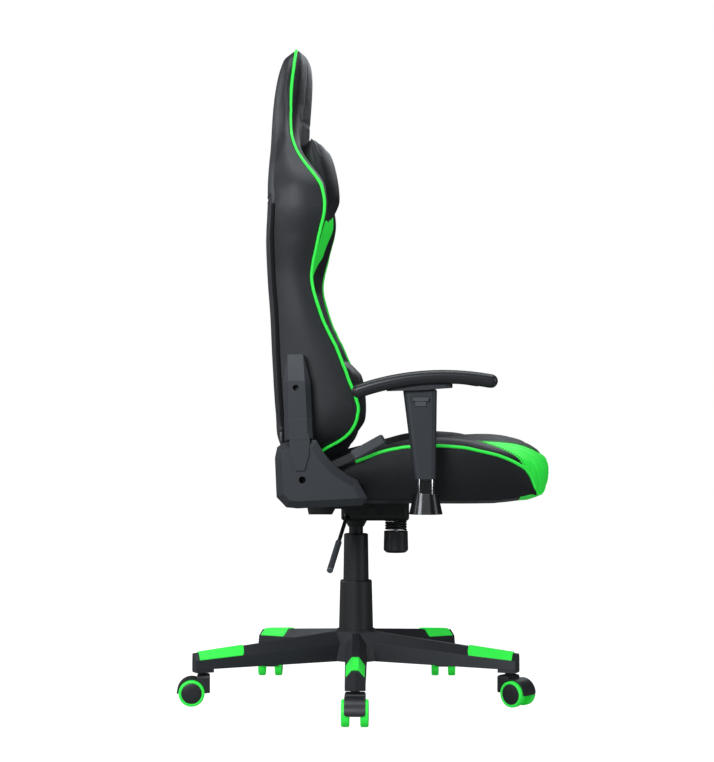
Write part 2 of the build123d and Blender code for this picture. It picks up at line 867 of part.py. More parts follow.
def make_lower_side_cover():
    face = lower_cover_face()
    shell = bevelled(face, lower_cover_rim, cover_outer, lower_bevel_depth, lower_bevel_width)
    floor = cover_outer - lower_bevel_depth - shell_wall
    shell -= across(offset(face, -shell_wall), lower_cover_rim - 1, floor)
    bracket_face = bracket_inner + bracket_thick
    for x, z in lower_screws:
        shell += cross_pin(boss_d, bracket_face, floor + 1, x, z)
    notch_low = pivot_point(2 * arc_r, recline_lever_angle - lever_notch_margin)
    notch_high = pivot_point(2 * arc_r, recline_lever_angle + recline_lever_travel + lever_notch_margin)
    notch = Polygon((pivot_x, pivot_z), notch_low, notch_high, align=None)
    shell -= across(notch, lower_cover_rim - 1, lever_arm_inner + lever_arm_thick + lever_notch_gap)
    return shell - cross_pin(screw_hole_d, floor - 1, cover_outer + 1, pivot_x, pivot_z)


def make_upper_side_cover():
    plate_outer = bracket_inner + 2 * bracket_thick + plate_gap
    face = Polygon(*upper_outline, align=None)
    shell = bevelled(face, plate_outer, cover_outer, cover_bevel, cover_bevel)
    reach = 4 * arc_r
    belt = block(pivot_x - reach, pivot_x + reach, 0, 2 * cover_outer, *upper_band)
    shell += Pos(0, band_proud, 0) * (shell & belt)
    floor = cover_outer - cover_bevel - shell_wall
    above = Pos(pivot_x, pivot_z + arc_r + 3 * shell_wall)
    pocket = offset(face, -shell_wall) & above * Rectangle(reach, reach, align=(Align.CENTER, Align.MIN))
    shell -= across(pocket, plate_outer - 1, floor)
    shell -= cross_pin(2 * (arc_r + arc_gap), plate_outer - 1, cover_outer + 1, pivot_x, pivot_z)
    x, z = upper_screw
    shell += cross_pin(boss_d, plate_outer, floor + 1, x, z)
    top = cover_outer + 1
    slope = Polygon((top, slope_low), (top, slope_high), (top - slope_depth, slope_high), align=None)
    start = Plane(origin=(pivot_x - reach, 0, 0), z_dir=(1, 0, 0), x_dir=(0, 1, 0))
    shell -= extrude(start * slope, amount=2 * reach)
    tongue_low = cover_outer + tongue_gap
    tongue = across(Polygon(*tongue_outline, align=None), tongue_low, tongue_low + tongue_thick)
    return shell + tongue - cross_pin(screw_hole_d - 2, floor - shell_wall, top, x, z)


def make_back_bracket():
    inner = bracket_inner + bracket_thick + plate_gap
    outer = inner + bracket_thick
    strip = offset(Polygon(*upper_outline, align=None), -1)
    rear = pivot_point(back_plate_disc_r, 170)
    front = pivot_point(back_plate_disc_r, 10)
    neck = Polygon(neck_rear, rear, front, neck_front_corner, align=None)
    disc = Pos(pivot_x, pivot_z) * Circle(back_plate_disc_r)
    plate = joined([across(face, inner, outer) for face in (strip, neck, disc)])
    return plate - cross_pin(pivot_pin_d + 2 * running_fit, inner - 1, outer + 1, pivot_x, pivot_z)


def make_recliner_pin():
    end = lever_arm_inner + lever_arm_thick + pivot_pin_proud
    return cross_pin(pivot_pin_d, bracket_inner, end, pivot_x, pivot_z)


def make_recline_lever():
    inner = lever_arm_inner
    reach = recline_lever_reach
    half = lever_arm_width / 2
    strip = Pos(pivot_x, pivot_z) * Rot(0, 0, recline_lever_angle) * (
        Rectangle(reach, 2 * half, align=(Align.MIN, Align.CENTER)) + Circle(lever_arm_width)
    )
    start = pivot_point(reach - half, recline_lever_angle)
    outer = inner + lever_arm_thick
    tang = Rectangle(grip_length * grip_tang_share, half, align=(Align.MIN, Align.CENTER))
    arm = across(strip + Pos(*start) * Rot(0, 0, grip_angle) * tang, -outer, -inner)
    return arm - cross_pin(pivot_pin_d + 2 * running_fit, -outer - 1, -inner + 1, pivot_x, pivot_z)


def make_recline_grip():
    start = pivot_point(recline_lever_reach + slip, recline_lever_angle)
    middle = lever_arm_inner + lever_arm_thick / 2
    outline = Rectangle(grip_length, grip_height, align=(Align.MIN, Align.CENTER))
    outline = Pos(*start) * Rot(0, 0, grip_angle) * fillet(outline.vertices(), grip_round)
    body = across(outline, -middle - grip_width / 2, -middle + grip_width / 2)
    sides = body.faces().sort_by(Axis.Y)
    body = chamfer(sides[0].edges() + sides[-1].edges(), grip_bevel)
    hub = pivot_point(recline_lever_reach - lever_arm_width / 2, recline_lever_angle)
    tang = grip_length * grip_tang_share + slip
    slot = Pos(*hub) * Rot(0, 0, grip_angle) * Rectangle(
        tang, lever_arm_width / 2 + 2 * running_fit, align=(Align.MIN, Align.CENTER)
    )
    end = Pos(pivot_x, pivot_z) * Rot(0, 0, recline_lever_angle) * Rectangle(
        recline_lever_reach + running_fit, lever_arm_width + 2 * running_fit, align=(Align.MIN, Align.CENTER)
    )
    inner = lever_arm_inner - running_fit
    return body - across(slot + end, -inner - lever_arm_thick - 2 * running_fit, -inner)


def post_column(grow, low, high):
    face = RectangleRounded(post_width + 2 * grow, post_depth + 2 * grow, post_round + grow)
    return extrude(Pos(arm_x, -arm_y, low) * face, amount=high - low)


def make_arm_post():
    low = seat_bottom - arm_bar_thick
    tube = post_column(0, low, post_top) - post_column(-post_wall, seat_bottom, post_top + 1)
    half = arm_bar_width / 2
    outer = -arm_y - post_depth / 2
    bar = block(arm_x - half, arm_x + half, outer, arm_bar_overlap - frame_half, low, seat_bottom)
    post = tube + bar
    for y in arm_bolt_y():
        post -= upright(bolt_d + 2 * running_fit, low - 1, seat_bottom + 1, arm_x, -y)
    return post


def make_arm_cup():
    foot = Pos(arm_x, -arm_y, cup_bottom) * RectangleRounded(*cup_base, cup_base_round)
    mouth = Pos(arm_x, -arm_y, cup_top) * RectangleRounded(*cup_mouth, cup_mouth_round)
    low = seat_bottom - arm_bar_thick
    cup = loft([foot, mouth]) - post_column(slip, low, cup_top + 1)
    bar = arm_bar_width / 2 + slip
    outer = -arm_y - post_depth / 2 - slip
    return cup - block(arm_x - bar, arm_x + bar, outer, -frame_half, low, seat_bottom + slip)


def make_sleeve():
    foot = Pos(sleeve_foot_x, -arm_y, sleeve_bottom) * RectangleRounded(*sleeve_foot, sleeve_round)
    head = Pos(sleeve_head_x, -arm_y, sleeve_top) * RectangleRounded(*sleeve_head, sleeve_round)
    sleeve = loft([foot, head]) - post_column(slip, sleeve_bottom - 1, sleeve_bore_top)
    outer = arm_y + sleeve_head[1] / 2
    pocket = button_body + button_travel + button_clearance
    return sleeve - across(button_face(slip), -outer - 1, -outer + pocket)


def button_face(grow):
    ledge = Rectangle(button_ledge[0] + 2 * grow, button_ledge[1] + 2 * grow)
    stem = Rectangle(button_stem[0] + 2 * grow, button_stem[1] + 2 * grow)
    above = Pos(button_x, button_z + button_ledge[1] / 2)
    below = Pos(button_x, button_z - button_stem[1] / 2)
    return above * ledge + below * stem


def make_button():
    outer = arm_y + sleeve_head[1] / 2
    tee = across(button_face(0), -outer - button_proud / 2, -outer + button_body)
    lip = Pos(button_x, button_z + button_ledge[1] / 2) * Rectangle(*button_ledge)
    return tee + across(lip, -outer - button_proud, -outer)


def arm_pad_crown():
    return sleeve_top + arm_pad_neck + arm_pad_thick


def arm_pad_face(grow=0):
    # the pad's side outline: a slot along an arched centre line
    half = arm_pad_thick / 2
    level = arm_pad_crown() - half
    rear = (arm_pad_rear + half, level - arm_pad_rear_drop)
    front = (arm_pad_front - half, level - arm_pad_front_drop)
    line = ThreePointArc(rear, (arm_pad_crown_x, level), front)
    return SlotArc(line, arm_pad_thick + 2 * grow)


def make_arm_pad():
    half = arm_pad_width / 2
    pad = across(arm_pad_face(), -arm_y - half, -arm_y + half)
    sides = pad.edges().filter_by_position(Axis.Y, -arm_y - half - 1, -arm_y - half + 1)
    sides += pad.edges().filter_by_position(Axis.Y, -arm_y + half - 1, -arm_y + half + 1)
    return fillet(sides, arm_pad_round)


def make_pad_plate():
    tall = arm_pad_crown()
    rear = (pad_plate_rear, sleeve_top - pad_plate_rear_drop)
    front = (pad_plate_front, sleeve_top + pad_plate_front_rise)
    side = Polygon(
        rear, (sleeve_head_x, sleeve_top), front, (pad_plate_front, tall), (pad_plate_rear, tall), align=None
    )
    half = pad_plate_width / 2
    plate = across(side, -arm_y - half, -arm_y + half)
    plate = fillet(plate.edges().filter_by(Axis.Z), pad_plate_round)
    plate -= across(arm_pad_face(running_fit), -arm_y - arm_pad_width, -arm_y + arm_pad_width)
    plate = plate.solids().sort_by(Axis.Z)[0]
    head = Pos(sleeve_head_x, -arm_y, 0) * RectangleRounded(*sleeve_head, sleeve_round)
    return plate - extrude(head, amount=sleeve_top)


def back_section(station):
    z, rear, piping, bolster, middle, half = station
    side = half * (1 - back_bolster_share)
    flat = half * back_flat_share
    front = Spline(
        (piping, half), (bolster, side), (middle, flat), (middle, -flat), (bolster, -side), (piping, -half)
    )
    corner = half - back_rear_round
    rest = Polyline((piping, -half), (rear, -corner), (rear, corner), (piping, half))
    return Pos(0, 0, z) * make_face(Curve() + [front, rest])


def back_frame_pieces(grow):
    t = back_frame_tube / 2 + grow
    low = back_frame_bottom
    shoulder = back_frame_shoulder
    high = back_frame_top
    half = back_frame_half
    inset = half * back_frame_neck_share
    bars = []
    for side in (-1, 1):
        post = side * half
        neck = side * inset
        bars.append(block(frame_x - t, frame_x + t, post - t, post + t, low - t, shoulder + t))
        bars.append(block(frame_x - t, frame_x + t, neck - t, neck + t, shoulder - t, high + t))
    for z, reach in ((low, half), (back_boss_z[1], half), (shoulder, half), (high, inset)):
        bars.append(block(frame_x - t, frame_x + t, -reach - t, reach + t, z - t, z + t))
    outer = bracket_inner + bracket_thick + plate_gap
    for z in back_boss_z:
        bars.extend(both_sides(cross_pin(back_boss_d + 2 * grow, half - t, outer, back_boss_x, z)))
        bars.extend(both_sides(block(frame_x - t, back_boss_x, half - t, half + t, z - t, z + t)))
    return bars


def make_back_body():
    return loft([back_section(station) for station in back_stations])


def pillow(bottom, top, rear, front, width):
    # a crowned pillow: its side outline shrinks towards both ends
    middle = (bottom + top) / 2
    tall = (top - bottom) / 2
    sections = []
    for share, size in ((-1, 0.45), (-0.75, 0.9), (0, 1), (0.75, 0.9), (1, 0.45)):
        high = tall * (0.8 + 0.2 * size)
        nose = rear + (front - rear) * size
        face = make_face(
            Spline((rear, middle - high), (nose, middle - high * 0.25), (rear, middle + high))
            + Line((rear, middle + high), (rear, middle - high))
        )
        sections.append(Plane.XZ.offset(share * width / 2) * face)
    return loft(sections)


def make_pillow(body, bottom, top, front, width):
    # the pillow's rear takes the shape of the backrest that it lies on
    rest = pillow(bottom, top, frame_x + back_frame_tube, front, width) - body
    return Pos(slip, 0, 0) * rest.solids().sort_by(SortBy.VOLUME)[-1]


def make_base():
    save("star_base", make_star_base())
    pad = make_leg_pad()
    save("leg_pads", *[Rot(0, 0, angle) * pad for angle in leg_places()])
    save("stand_tube", make_stand_tube())
    save("column_cover_lower", make_lower_cover())
    make_casters()


def make_mechanism():
    save("piston_rod", make_piston_rod())
    save("pressure_tube", make_pressure_tube())
    save("valve_pin", upright(valve_d, valve_top - valve_length, valve_top))
    save("column_cover_upper", make_upper_cover())
    save("mechanism_housing", make_housing())
    save("tilt_pin", make_tilt_pin())
    save("tension_spring", make_tension_spring())
    save("height_lever", make_height_lever())
    save("height_lever_grip", make_height_grip())
    save("tension_knob", make_knob())


def make_seat():
    save("seat_plate", make_seat_plate())
    save("tension_bolt", upright(tension_bolt_d, tension_bolt_bottom, seat_bottom, tension_x))
    save("seat_frame", make_seat_frame())
    save("seat_cushion", make_seat_cushion())
    save("seat_bolts", *make_seat_bolts())
    save("seat_brackets", *both_sides(make_seat_bracket()))
    save("recliner_pins", *both_sides(make_recliner_pin()))
    save("lower_covers", *both_sides(make_lower_side_cover()))
    save("recline_lever", make_recline_lever())
    save("recline_grip", make_recline_grip())


def make_armrests():
    save("arm_posts", *both_sides(make_arm_post()))
    save("arm_cups", *both_sides(make_arm_cup()))
    pieces = {
        "arm_sleeve": make_sleeve(),
        "arm_button": make_button(),
        "pad_plate": make_pad_plate(),
        "arm_pad": make_arm_pad(),
    }
    for name, piece in pieces.items():
        right, left = both_sides(piece)
        save(f"{name}_right", right)
        save(f"{name}_left", left)


def make_back():
    body = make_back_body()
    save("back_cushion", body - joined(back_frame_pieces(slip)))
    save("back_frame", joined(back_frame_pieces(0)) - joined(back_frame_pieces(-tube_wall)))
    save("back_brackets", *both_sides(make_back_bracket()))
    save("upper_covers", *both_sides(make_upper_side_cover()))
    save("neck_pillow", make_pillow(body, neck_bottom, neck_top, neck_front, neck_width))
    save("lumbar_pillow", make_pillow(body, lumbar_bottom, lumbar_top, lumbar_front, lumbar_width))


make_base()
make_mechanism()
make_seat()
make_armrests()
make_back()
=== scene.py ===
import json
import math

import bpy
import numpy as np
from mathutils import Matrix, Vector
from mathutils.bvhtree import BVHTree


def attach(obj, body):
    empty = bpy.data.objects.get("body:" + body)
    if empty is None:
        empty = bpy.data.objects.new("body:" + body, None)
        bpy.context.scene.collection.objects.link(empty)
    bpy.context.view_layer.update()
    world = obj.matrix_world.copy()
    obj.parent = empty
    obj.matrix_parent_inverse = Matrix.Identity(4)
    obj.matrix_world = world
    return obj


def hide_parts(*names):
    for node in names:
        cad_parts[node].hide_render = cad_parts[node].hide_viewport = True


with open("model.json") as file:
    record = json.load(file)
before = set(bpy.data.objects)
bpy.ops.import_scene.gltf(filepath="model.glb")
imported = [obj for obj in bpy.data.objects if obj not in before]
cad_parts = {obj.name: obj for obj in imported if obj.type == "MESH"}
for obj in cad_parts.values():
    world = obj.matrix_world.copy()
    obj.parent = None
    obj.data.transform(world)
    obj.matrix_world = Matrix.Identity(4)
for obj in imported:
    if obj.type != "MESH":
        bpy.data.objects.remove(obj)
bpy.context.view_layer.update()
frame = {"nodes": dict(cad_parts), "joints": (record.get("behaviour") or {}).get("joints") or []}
nodes = frame["nodes"]
joints = {joint["name"]: joint for joint in frame["joints"]}
scene = bpy.context.scene
bpy.ops.object.select_all(action="DESELECT")
print("frame loaded:", len(nodes), "nodes")

mm = 0.001
sides = ((1, "left"), (-1, "right"))
switchTo = bpy.ops.object.mode_set


def addObject(name, data):
    thing = bpy.data.objects.new(name, data)
    scene.collection.objects.link(thing)
    return thing


# Camera, floor and light

studio = {
    "cameraAt": (0.087, -3.8, 0.631),
    "lens": 90.66,          # gives the photo's field of view on a 36 mm sensor
    "yaw": 1.283,           # degrees, towards the chair's rear
    "pitch": -0.09,
    "floorSize": 60.0,
    "floorTone": 0.3,
    "floorGlow": 1.0,       # keeps the floor as white as the paper behind it, with a faint shadow
    "skyTone": 1.0,
    "skyFill": 0.04,        # how much of the white sky lights the chair
    "lampTint": (0.9, 0.95, 1.0),
    # name: place, aim, width, height, power
    "lamps": {
        "overheadBox": ((0.1, -0.4, 3.0), (0.1, 0, 0.5), 2.2, 1.4, 44),
        "keyBox": ((-1.0, -3.3, 1.7), (-0.1, 0, 0.5), 1.2, 0.8, 74),
        "leftBox": ((-2.7, -1.6, 1.2), (0, 0, 0.6), 0.6, 1.9, 15),
        "frontBox": ((2.8, -1.7, 1.2), (0.1, 0, 0.6), 0.8, 1.9, 22),
        "rearBox": ((-2.6, 1.0, 1.6), (0, 0, 0.7), 1.2, 2.0, 28),
        "farBox": ((0.9, 2.7, 2.3), (0, 0, 0.6), 1.4, 1.4, 14),
    },
}


def makeStudio():
    lens = bpy.data.cameras.new("photoCamera")
    lens.lens = studio["lens"]
    lens.sensor_width = 36
    lens.clip_end = 200
    camera = addObject("photoCamera", lens)
    camera.location = studio["cameraAt"]
    camera.rotation_euler = (math.radians(90 + studio["pitch"]), 0, math.radians(studio["yaw"]))
    scene.camera = camera

    bpy.ops.mesh.primitive_plane_add(size=studio["floorSize"])
    floor = bpy.context.object
    floor.name = "studioFloor"
    floor.data.materials.append(paperFinish("floorPaper", studio["floorTone"], studio["floorGlow"]))
    floor.select_set(False)

    for name, (place, aim, width, height, power) in studio["lamps"].items():
        lamp = bpy.data.lights.new(name, "AREA")
        lamp.shape = "RECTANGLE"
        lamp.size = width
        lamp.size_y = height
        lamp.energy = power
        lamp.color = studio["lampTint"]
        holder = addObject(name, lamp)
        holder.location = place
        holder.rotation_euler = (Vector(aim) - Vector(place)).to_track_quat("-Z", "Y").to_euler()

    world = bpy.data.worlds.new("studioSky")
    world.use_nodes = True
    scene.world = world
    tree = world.node_tree
    seen = addNode(tree, "LightPath").outputs["Is Camera Ray"]
    level = spread(tree, seen, studio["skyFill"], studio["skyTone"])
    feedAll(tree, tree.nodes["Background"], Color=(1, 1, 1), Strength=level)
    scene.view_settings.view_transform = "Standard"
    print("studio ready")


# Shader nodes

def feed(tree, socket, value):
    # a socket takes a value or the output of another node
    if isinstance(value, bpy.types.NodeSocket):
        tree.links.new(value, socket)
    elif socket.type == "RGBA":
        socket.default_value = (*value, 1)
    else:
        socket.default_value = value


def feedAll(tree, node, **inputs):
    # inputs by their names, with _ for a space
    for label, value in inputs.items():
        feed(tree, node.inputs[label.replace("_", " ")], value)
    return node


def addNode(tree, kind, settings=None, **inputs):
    node = tree.nodes.new("ShaderNode" + kind)
    for name, value in (settings or {}).items():
        setattr(node, name, value)
    return feedAll(tree, node, **inputs)


def addByNumber(tree, kind, settings, inputs):
    # a node whose inputs have no names of their own; gives its outputs
    node = addNode(tree, kind, settings)
    for number, value in inputs.items():
        feed(tree, node.inputs[number], value)
    return node.outputs


def mathNode(tree, operation, first, second):
    return addByNumber(tree, "Math", {"operation": operation}, {0: first, 1: second})[0]


def tint(tree, factor, low, high):
    return addByNumber(tree, "Mix", {"data_type": "RGBA"}, {0: factor, 6: low, 7: high})[2]


def spread(tree, factor, low, high, start=0.0, end=1.0, **settings):
    # a value that runs from low to high as the factor runs from start to end
    node = addNode(
        tree, "MapRange", settings, Value=factor,
        From_Min=start, From_Max=end, To_Min=low, To_Max=high,
    )
    return node.outputs["Result"]


# Shader groups that several finishes share

leatherLook = {
    "cells": 620.0,         # pebbles in a metre
    "unevenness": 0.5,
    "wander": 180.0,        # how finely the pebbles stray from a plain pattern, and how far
    "stray": (0.002, 0.002, 0.002),
    "lineWidth": 0.22,
    "cloud": 11.0,
    "bump": 0.35,
    "depth": 0.35 * mm,
    "rough": (-0.1, 0.12),  # how far the roughness wanders
    "glow": 0.28,           # painted glow: the leather shines a little by itself, which brightens the green, and on black this does nothing
    "zoneEdge": 0.3 * mm,   # half the soft edge between the two colours
}
mouldLook = {
    "smear": 16.0,
    "bevelSamples": 4,
    "edgeFacing": (0.998, 0.9),
    "depth": 0.15 * mm,
    "rough": (-0.08, 0.1),
    "metalRough": (0.7, 1.4),   # here as a factor
}


def newGroup(name, inputs, outputs):
    group = bpy.data.node_groups.new(name, "ShaderNodeTree")
    for label, value in inputs.items():
        socket = group.interface.new_socket(label, in_out="INPUT", socket_type="NodeSocketFloat")
        socket.default_value = value
    for label in outputs:
        group.interface.new_socket(label, in_out="OUTPUT", socket_type="NodeSocketFloat")
    return group, group.nodes.new("NodeGroupInput").outputs, group.nodes.new("NodeGroupOutput")


def makePebbleGrain():
    # small rounded cells with sunken lines between them, over slow soft unevenness
    group, enter, leave = newGroup(
        "pebbleGrain", {"Cells": 650.0, "Unevenness": 1.0}, ("Height", "Crease", "Cloud"),
    )
    place = addNode(group, "TexCoord").outputs["Object"]
    wander = addNode(group, "TexNoise", Vector=place, Scale=leatherLook["wander"])
    strayed = addByNumber(
        group, "VectorMath", {"operation": "MULTIPLY_ADD"},
        {0: wander.outputs["Color"], 1: leatherLook["stray"], 2: place},
    )
    cells = addNode(
        group, "TexVoronoi", {"feature": "DISTANCE_TO_EDGE"},
        Vector=strayed["Vector"], Scale=enter["Cells"],
    )
    cloud = addNode(group, "TexNoise", Vector=place, Scale=leatherLook["cloud"], Detail=4.0).outputs["Fac"]
    line = spread(
        group, cells.outputs["Distance"], 0.0, 1.0, 0.0, leatherLook["lineWidth"],
        interpolation_type="SMOOTHSTEP",
    )
    slow = mathNode(group, "MULTIPLY", cloud, enter["Unevenness"])
    feedAll(
        group, leave, Height=mathNode(group, "ADD", line, slow),
        Crease=mathNode(group, "SUBTRACT", 1.0, line), Cloud=cloud,
    )
    return group


def makeMouldSkin():
    # fine spark-eroded texture of moulded plastic, a mask of the softened edges, where the finishes paint a
    # lighter colour as painted highlight and wear, and faint rub marks
    group, enter, leave = newGroup(
        "mouldSkin", {"Grains": 900.0, "Edge": 0.8 * mm}, ("Height", "Edge", "Smear"),
    )
    place = addNode(group, "TexCoord").outputs["Object"]
    speck = addNode(group, "TexNoise", Vector=place, Scale=enter["Grains"], Detail=2.0)
    smear = addNode(group, "TexNoise", Vector=place, Scale=mouldLook["smear"], Detail=5.0, Roughness=0.62)
    soft = addNode(group, "Bevel", {"samples": mouldLook["bevelSamples"]}, Radius=enter["Edge"])
    flat = addNode(group, "NewGeometry")
    facing = addByNumber(
        group, "VectorMath", {"operation": "DOT_PRODUCT"},
        {0: soft.outputs["Normal"], 1: flat.outputs["Normal"]},
    )
    feedAll(
        group, leave, Height=speck.outputs["Fac"], Smear=smear.outputs["Fac"],
        Edge=spread(group, facing["Value"], 0.0, 1.0, *mouldLook["edgeFacing"]),
    )
    return group


groups = {"pebble": makePebbleGrain(), "mould": makeMouldSkin()}


# Finishes

def newFinish(name, colour, roughness, **inputs):
    material = bpy.data.materials.new(name)
    material.use_nodes = True
    material.diffuse_color = (*colour, 1)
    tree = material.node_tree
    shader = tree.nodes["Principled BSDF"]
    feedAll(tree, shader, Base_Color=colour, Roughness=roughness, **inputs)
    return material, tree, shader


def useGroup(tree, name, **values):
    return addNode(tree, "Group", {"node_tree": groups[name]}, **values).outputs


def plainTone(name, tone, roughness):
    return newFinish(name, (tone, tone, tone), roughness, Specular_IOR_Level=0.2)[0]


def paperFinish(name, tone, glow):
    # plain paper that looks brighter to the camera than the light on it
    material, tree, shader = newFinish(
        name, (tone, tone, tone), 0.9, Specular_IOR_Level=0.1, Emission_Color=(1, 1, 1),
    )
    seen = addNode(tree, "LightPath").outputs["Is Camera Ray"]
    feedAll(tree, shader, Emission_Strength=spread(tree, seen, 0.0, glow))
    return material


def leatherFinish(name, colour, creaseShade, roughness, twoTone=False, shine=0.55):
    material, tree, shader = newFinish(name, colour, roughness)
    smooth, rough = (roughness + shift for shift in leatherLook["rough"])
    grain = useGroup(tree, "pebble", Cells=leatherLook["cells"], Unevenness=leatherLook["unevenness"])
    # painted shade: the sunken lines between the pebbles take the darker crease colour
    tone = tint(tree, grain["Crease"], colour, creaseShade)
    if twoTone:
        # the sewn-in green panel, by the piece's own attribute
        zone = addNode(tree, "Attribute", {"attribute_name": "greenZone"}).outputs["Fac"]
        inside = spread(tree, zone, 0.0, 1.0, -leatherLook["zoneEdge"], leatherLook["zoneEdge"])
        # painted shade in the sunken lines of the green panel too
        green = tint(tree, grain["Crease"], tones["green"], tones["greenCreaseShade"])
        tone = tint(tree, inside, tone, green)
    bump = addNode(
        tree, "Bump", Strength=leatherLook["bump"], Distance=leatherLook["depth"], Height=grain["Height"],
    )
    # painted glow: the leather shines a little by itself
    feedAll(
        tree, shader, Base_Color=tone, Emission_Color=tone, Emission_Strength=leatherLook["glow"],
        Roughness=spread(tree, grain["Cloud"], smooth, rough),
        Normal=bump.outputs["Normal"], Specular_IOR_Level=shine,
    )
    return material


def mouldedFinish(name, colour, edgeHighlightAndWear, roughness, grains=900.0, edge=0.8 * mm, bump=0.25, glow=0.0):
    material, tree, shader = newFinish(name, colour, roughness)
    smooth, rough = (roughness + shift for shift in mouldLook["rough"])
    skin = useGroup(tree, "mould", Grains=grains, Edge=edge)
    soft = addNode(tree, "Bevel", {"samples": mouldLook["bevelSamples"]}, Radius=edge)
    raised = addNode(
        tree, "Bump", Strength=bump, Distance=mouldLook["depth"],
        Height=skin["Height"], Normal=soft.outputs["Normal"],
    )
    # painted highlight and wear: the colour turns lighter along the edges
    feedAll(
        tree, shader, Base_Color=tint(tree, skin["Edge"], colour, edgeHighlightAndWear),
        Roughness=spread(tree, skin["Smear"], smooth, rough),
        # painted glow: the part shines a little by itself
        Emission_Color=colour, Emission_Strength=glow, Normal=raised.outputs["Normal"],
    )
    return material


def metalFinish(name, colour, roughness):
    material, tree, shader = newFinish(name, colour, roughness, Metallic=1.0)
    skin = useGroup(tree, "mould", Grains=500.0, Edge=0.5 * mm)
    smooth, rough = (roughness * factor for factor in mouldLook["metalRough"])
    feedAll(tree, shader, Roughness=spread(tree, skin["Smear"], smooth, rough))
    return material


tones = {
    "black": (0.0088, 0.0096, 0.0122),
    # the crease colours are painted shade in the sunken lines of the grain
    "blackCreaseShade": (0.0046, 0.0049, 0.006),
    # painted shade: the seat's black is a darker copy of the back's, for the shade the seat sits in
    "seatShadedBlack": (0.0056, 0.0061, 0.0078),
    "green": (0.036, 0.95, 0.075),
    "greenCreaseShade": (0.022, 0.72, 0.05),
}
finishes = {
    "leather": leatherFinish("blackLeather", tones["black"], tones["blackCreaseShade"], 0.44),
    "leatherTwoTone": leatherFinish("twoToneLeather", tones["black"], tones["blackCreaseShade"], 0.44, True),
    # painted shade: the seat's leather is a darker copy of the back's, with less shine
    "seatShadedLeather": leatherFinish("seatShadedLeather", tones["seatShadedBlack"], tones["blackCreaseShade"], 0.46, True, 0.34),
    "piping": leatherFinish("greenPiping", tones["green"], tones["greenCreaseShade"], 0.38),
    "nylon": mouldedFinish("baseNylon", (0.016, 0.0174, 0.0212), (0.045, 0.048, 0.054), 0.46),
    "cover": mouldedFinish("coverPlastic", (0.0222, 0.0245, 0.03), (0.06, 0.065, 0.074), 0.5),
    "column": mouldedFinish("columnPlastic", (0.011, 0.0112, 0.012), (0.03, 0.031, 0.033), 0.45),
    "gloss": mouldedFinish(
        "glossPlastic", (0.006, 0.006, 0.0065), (0.015, 0.015, 0.016), 0.28, grains=300.0, bump=0.02,
    ),
    "hood": mouldedFinish("casterPlastic", (0.02, 0.0205, 0.023), (0.05, 0.052, 0.055), 0.4),
    # painted glow: the green rubber shines a little by itself
    "rubber": mouldedFinish(
        "greenRubber", tones["green"], (0.05, 0.95, 0.09), 0.45, grains=420.0, bump=0.6, glow=0.24,
    ),
    "padSkin": mouldedFinish(
        "armPadSkin", (0.013, 0.0135, 0.0155), (0.02, 0.021, 0.023), 0.34,
        grains=700.0, edge=0.5 * mm, bump=0.12,
    ),
    "powder": mouldedFinish(
        "powderBlack", (0.008, 0.008, 0.0085), (0.03, 0.03, 0.032), 0.5, grains=700.0,
    ),
    "grip": mouldedFinish("gripPlastic", (0.07, 0.075, 0.085), (0.1, 0.105, 0.115), 0.45),
    "steel": metalFinish("brightSteel", (0.56, 0.565, 0.58), 0.28),
    "chrome": metalFinish("chromePlate", (0.86, 0.865, 0.88), 0.07),
    "tape": plainTone("zipTape", 0.004, 0.85),
    "thread": plainTone("blackThread", 0.02, 0.6),
    "threadGreen": newFinish("greenThread", (0.03, 0.6, 0.05), 0.55)[0],
}

# finish of the CAD nodes, by how their names start; the first that fits counts,
# and nodes that none fits are powder coated
nodeFinish = {
    "nylon": ("star_base",),
    "rubber": ("leg_pads", "caster_wheel"),
    "hood": ("caster_hood",),
    "column": ("column_cover", "tension_knob"),
    "grip": ("height_lever_grip", "recline_grip", "arm_button"),
    "steel": ("piston_rod", "valve_pin", "height_lever", "tension_bolt"),
    "cover": ("lower_covers", "upper_covers", "arm_sleeve", "pad_plate"),
    "padSkin": ("arm_pad",),
    "chrome": ("arm_posts",),
    "gloss": ("arm_cups",),
    "leather": ("seat_cushion", "back_cushion", "neck_pillow", "lumbar_pillow"),
}


def dressNodes():
    for name, node in nodes.items():
        fitting = [finish for finish, starts in nodeFinish.items() if name.startswith(starts)]
        node.data.materials.clear()
        node.data.materials.append(finishes[(fitting or ["powder"])[0]])
    print("finishes on", len(nodes), "nodes")


# Sewn covers: rings of points along a piece, each ring cut into panels that meet at seams

sewing = {
    "ringStep": 8.5,
    "seamRow": 3.5,         # the rows next to a seam are this close to it
    "seamDepth": 1.6 * mm,
    "pressure": 4.0,
    "cap": 5 * mm,
    "pipingRadius": 3 * mm,
    "pipingOut": 1.6 * mm,
    "zoneReach": 0.01,      # metres that a zone's 1 stands for
}


def smoothThrough(places, values, at):
    # a curve through the values that never swings past them
    places, values, at = (np.array(row, float) for row in (places, values, at))
    step = np.diff(places)
    slope = np.diff(values) / step
    lean = np.zeros(len(values))
    lean[0], lean[-1] = slope[0], slope[-1]
    for spot in range(1, len(values) - 1):
        before, after = slope[spot - 1], slope[spot]
        if before * after > 0:
            lean[spot] = 2 * before * after / (before + after)
    spot = np.clip(np.searchsorted(places, at) - 1, 0, len(step) - 1)
    t = (at - places[spot]) / step[spot]
    start = (1 + 2 * t) * (1 - t) ** 2 * values[spot] + t * (1 - t) ** 2 * step[spot] * lean[spot]
    end = t * t * (3 - 2 * t) * values[spot + 1] + t * t * (t - 1) * step[spot] * lean[spot + 1]
    return start + end


def lengthAlong(points):
    gaps = np.linalg.norm(np.diff(np.array(points), axis=0), axis=1)
    return np.concatenate([[0], np.cumsum(gaps)])


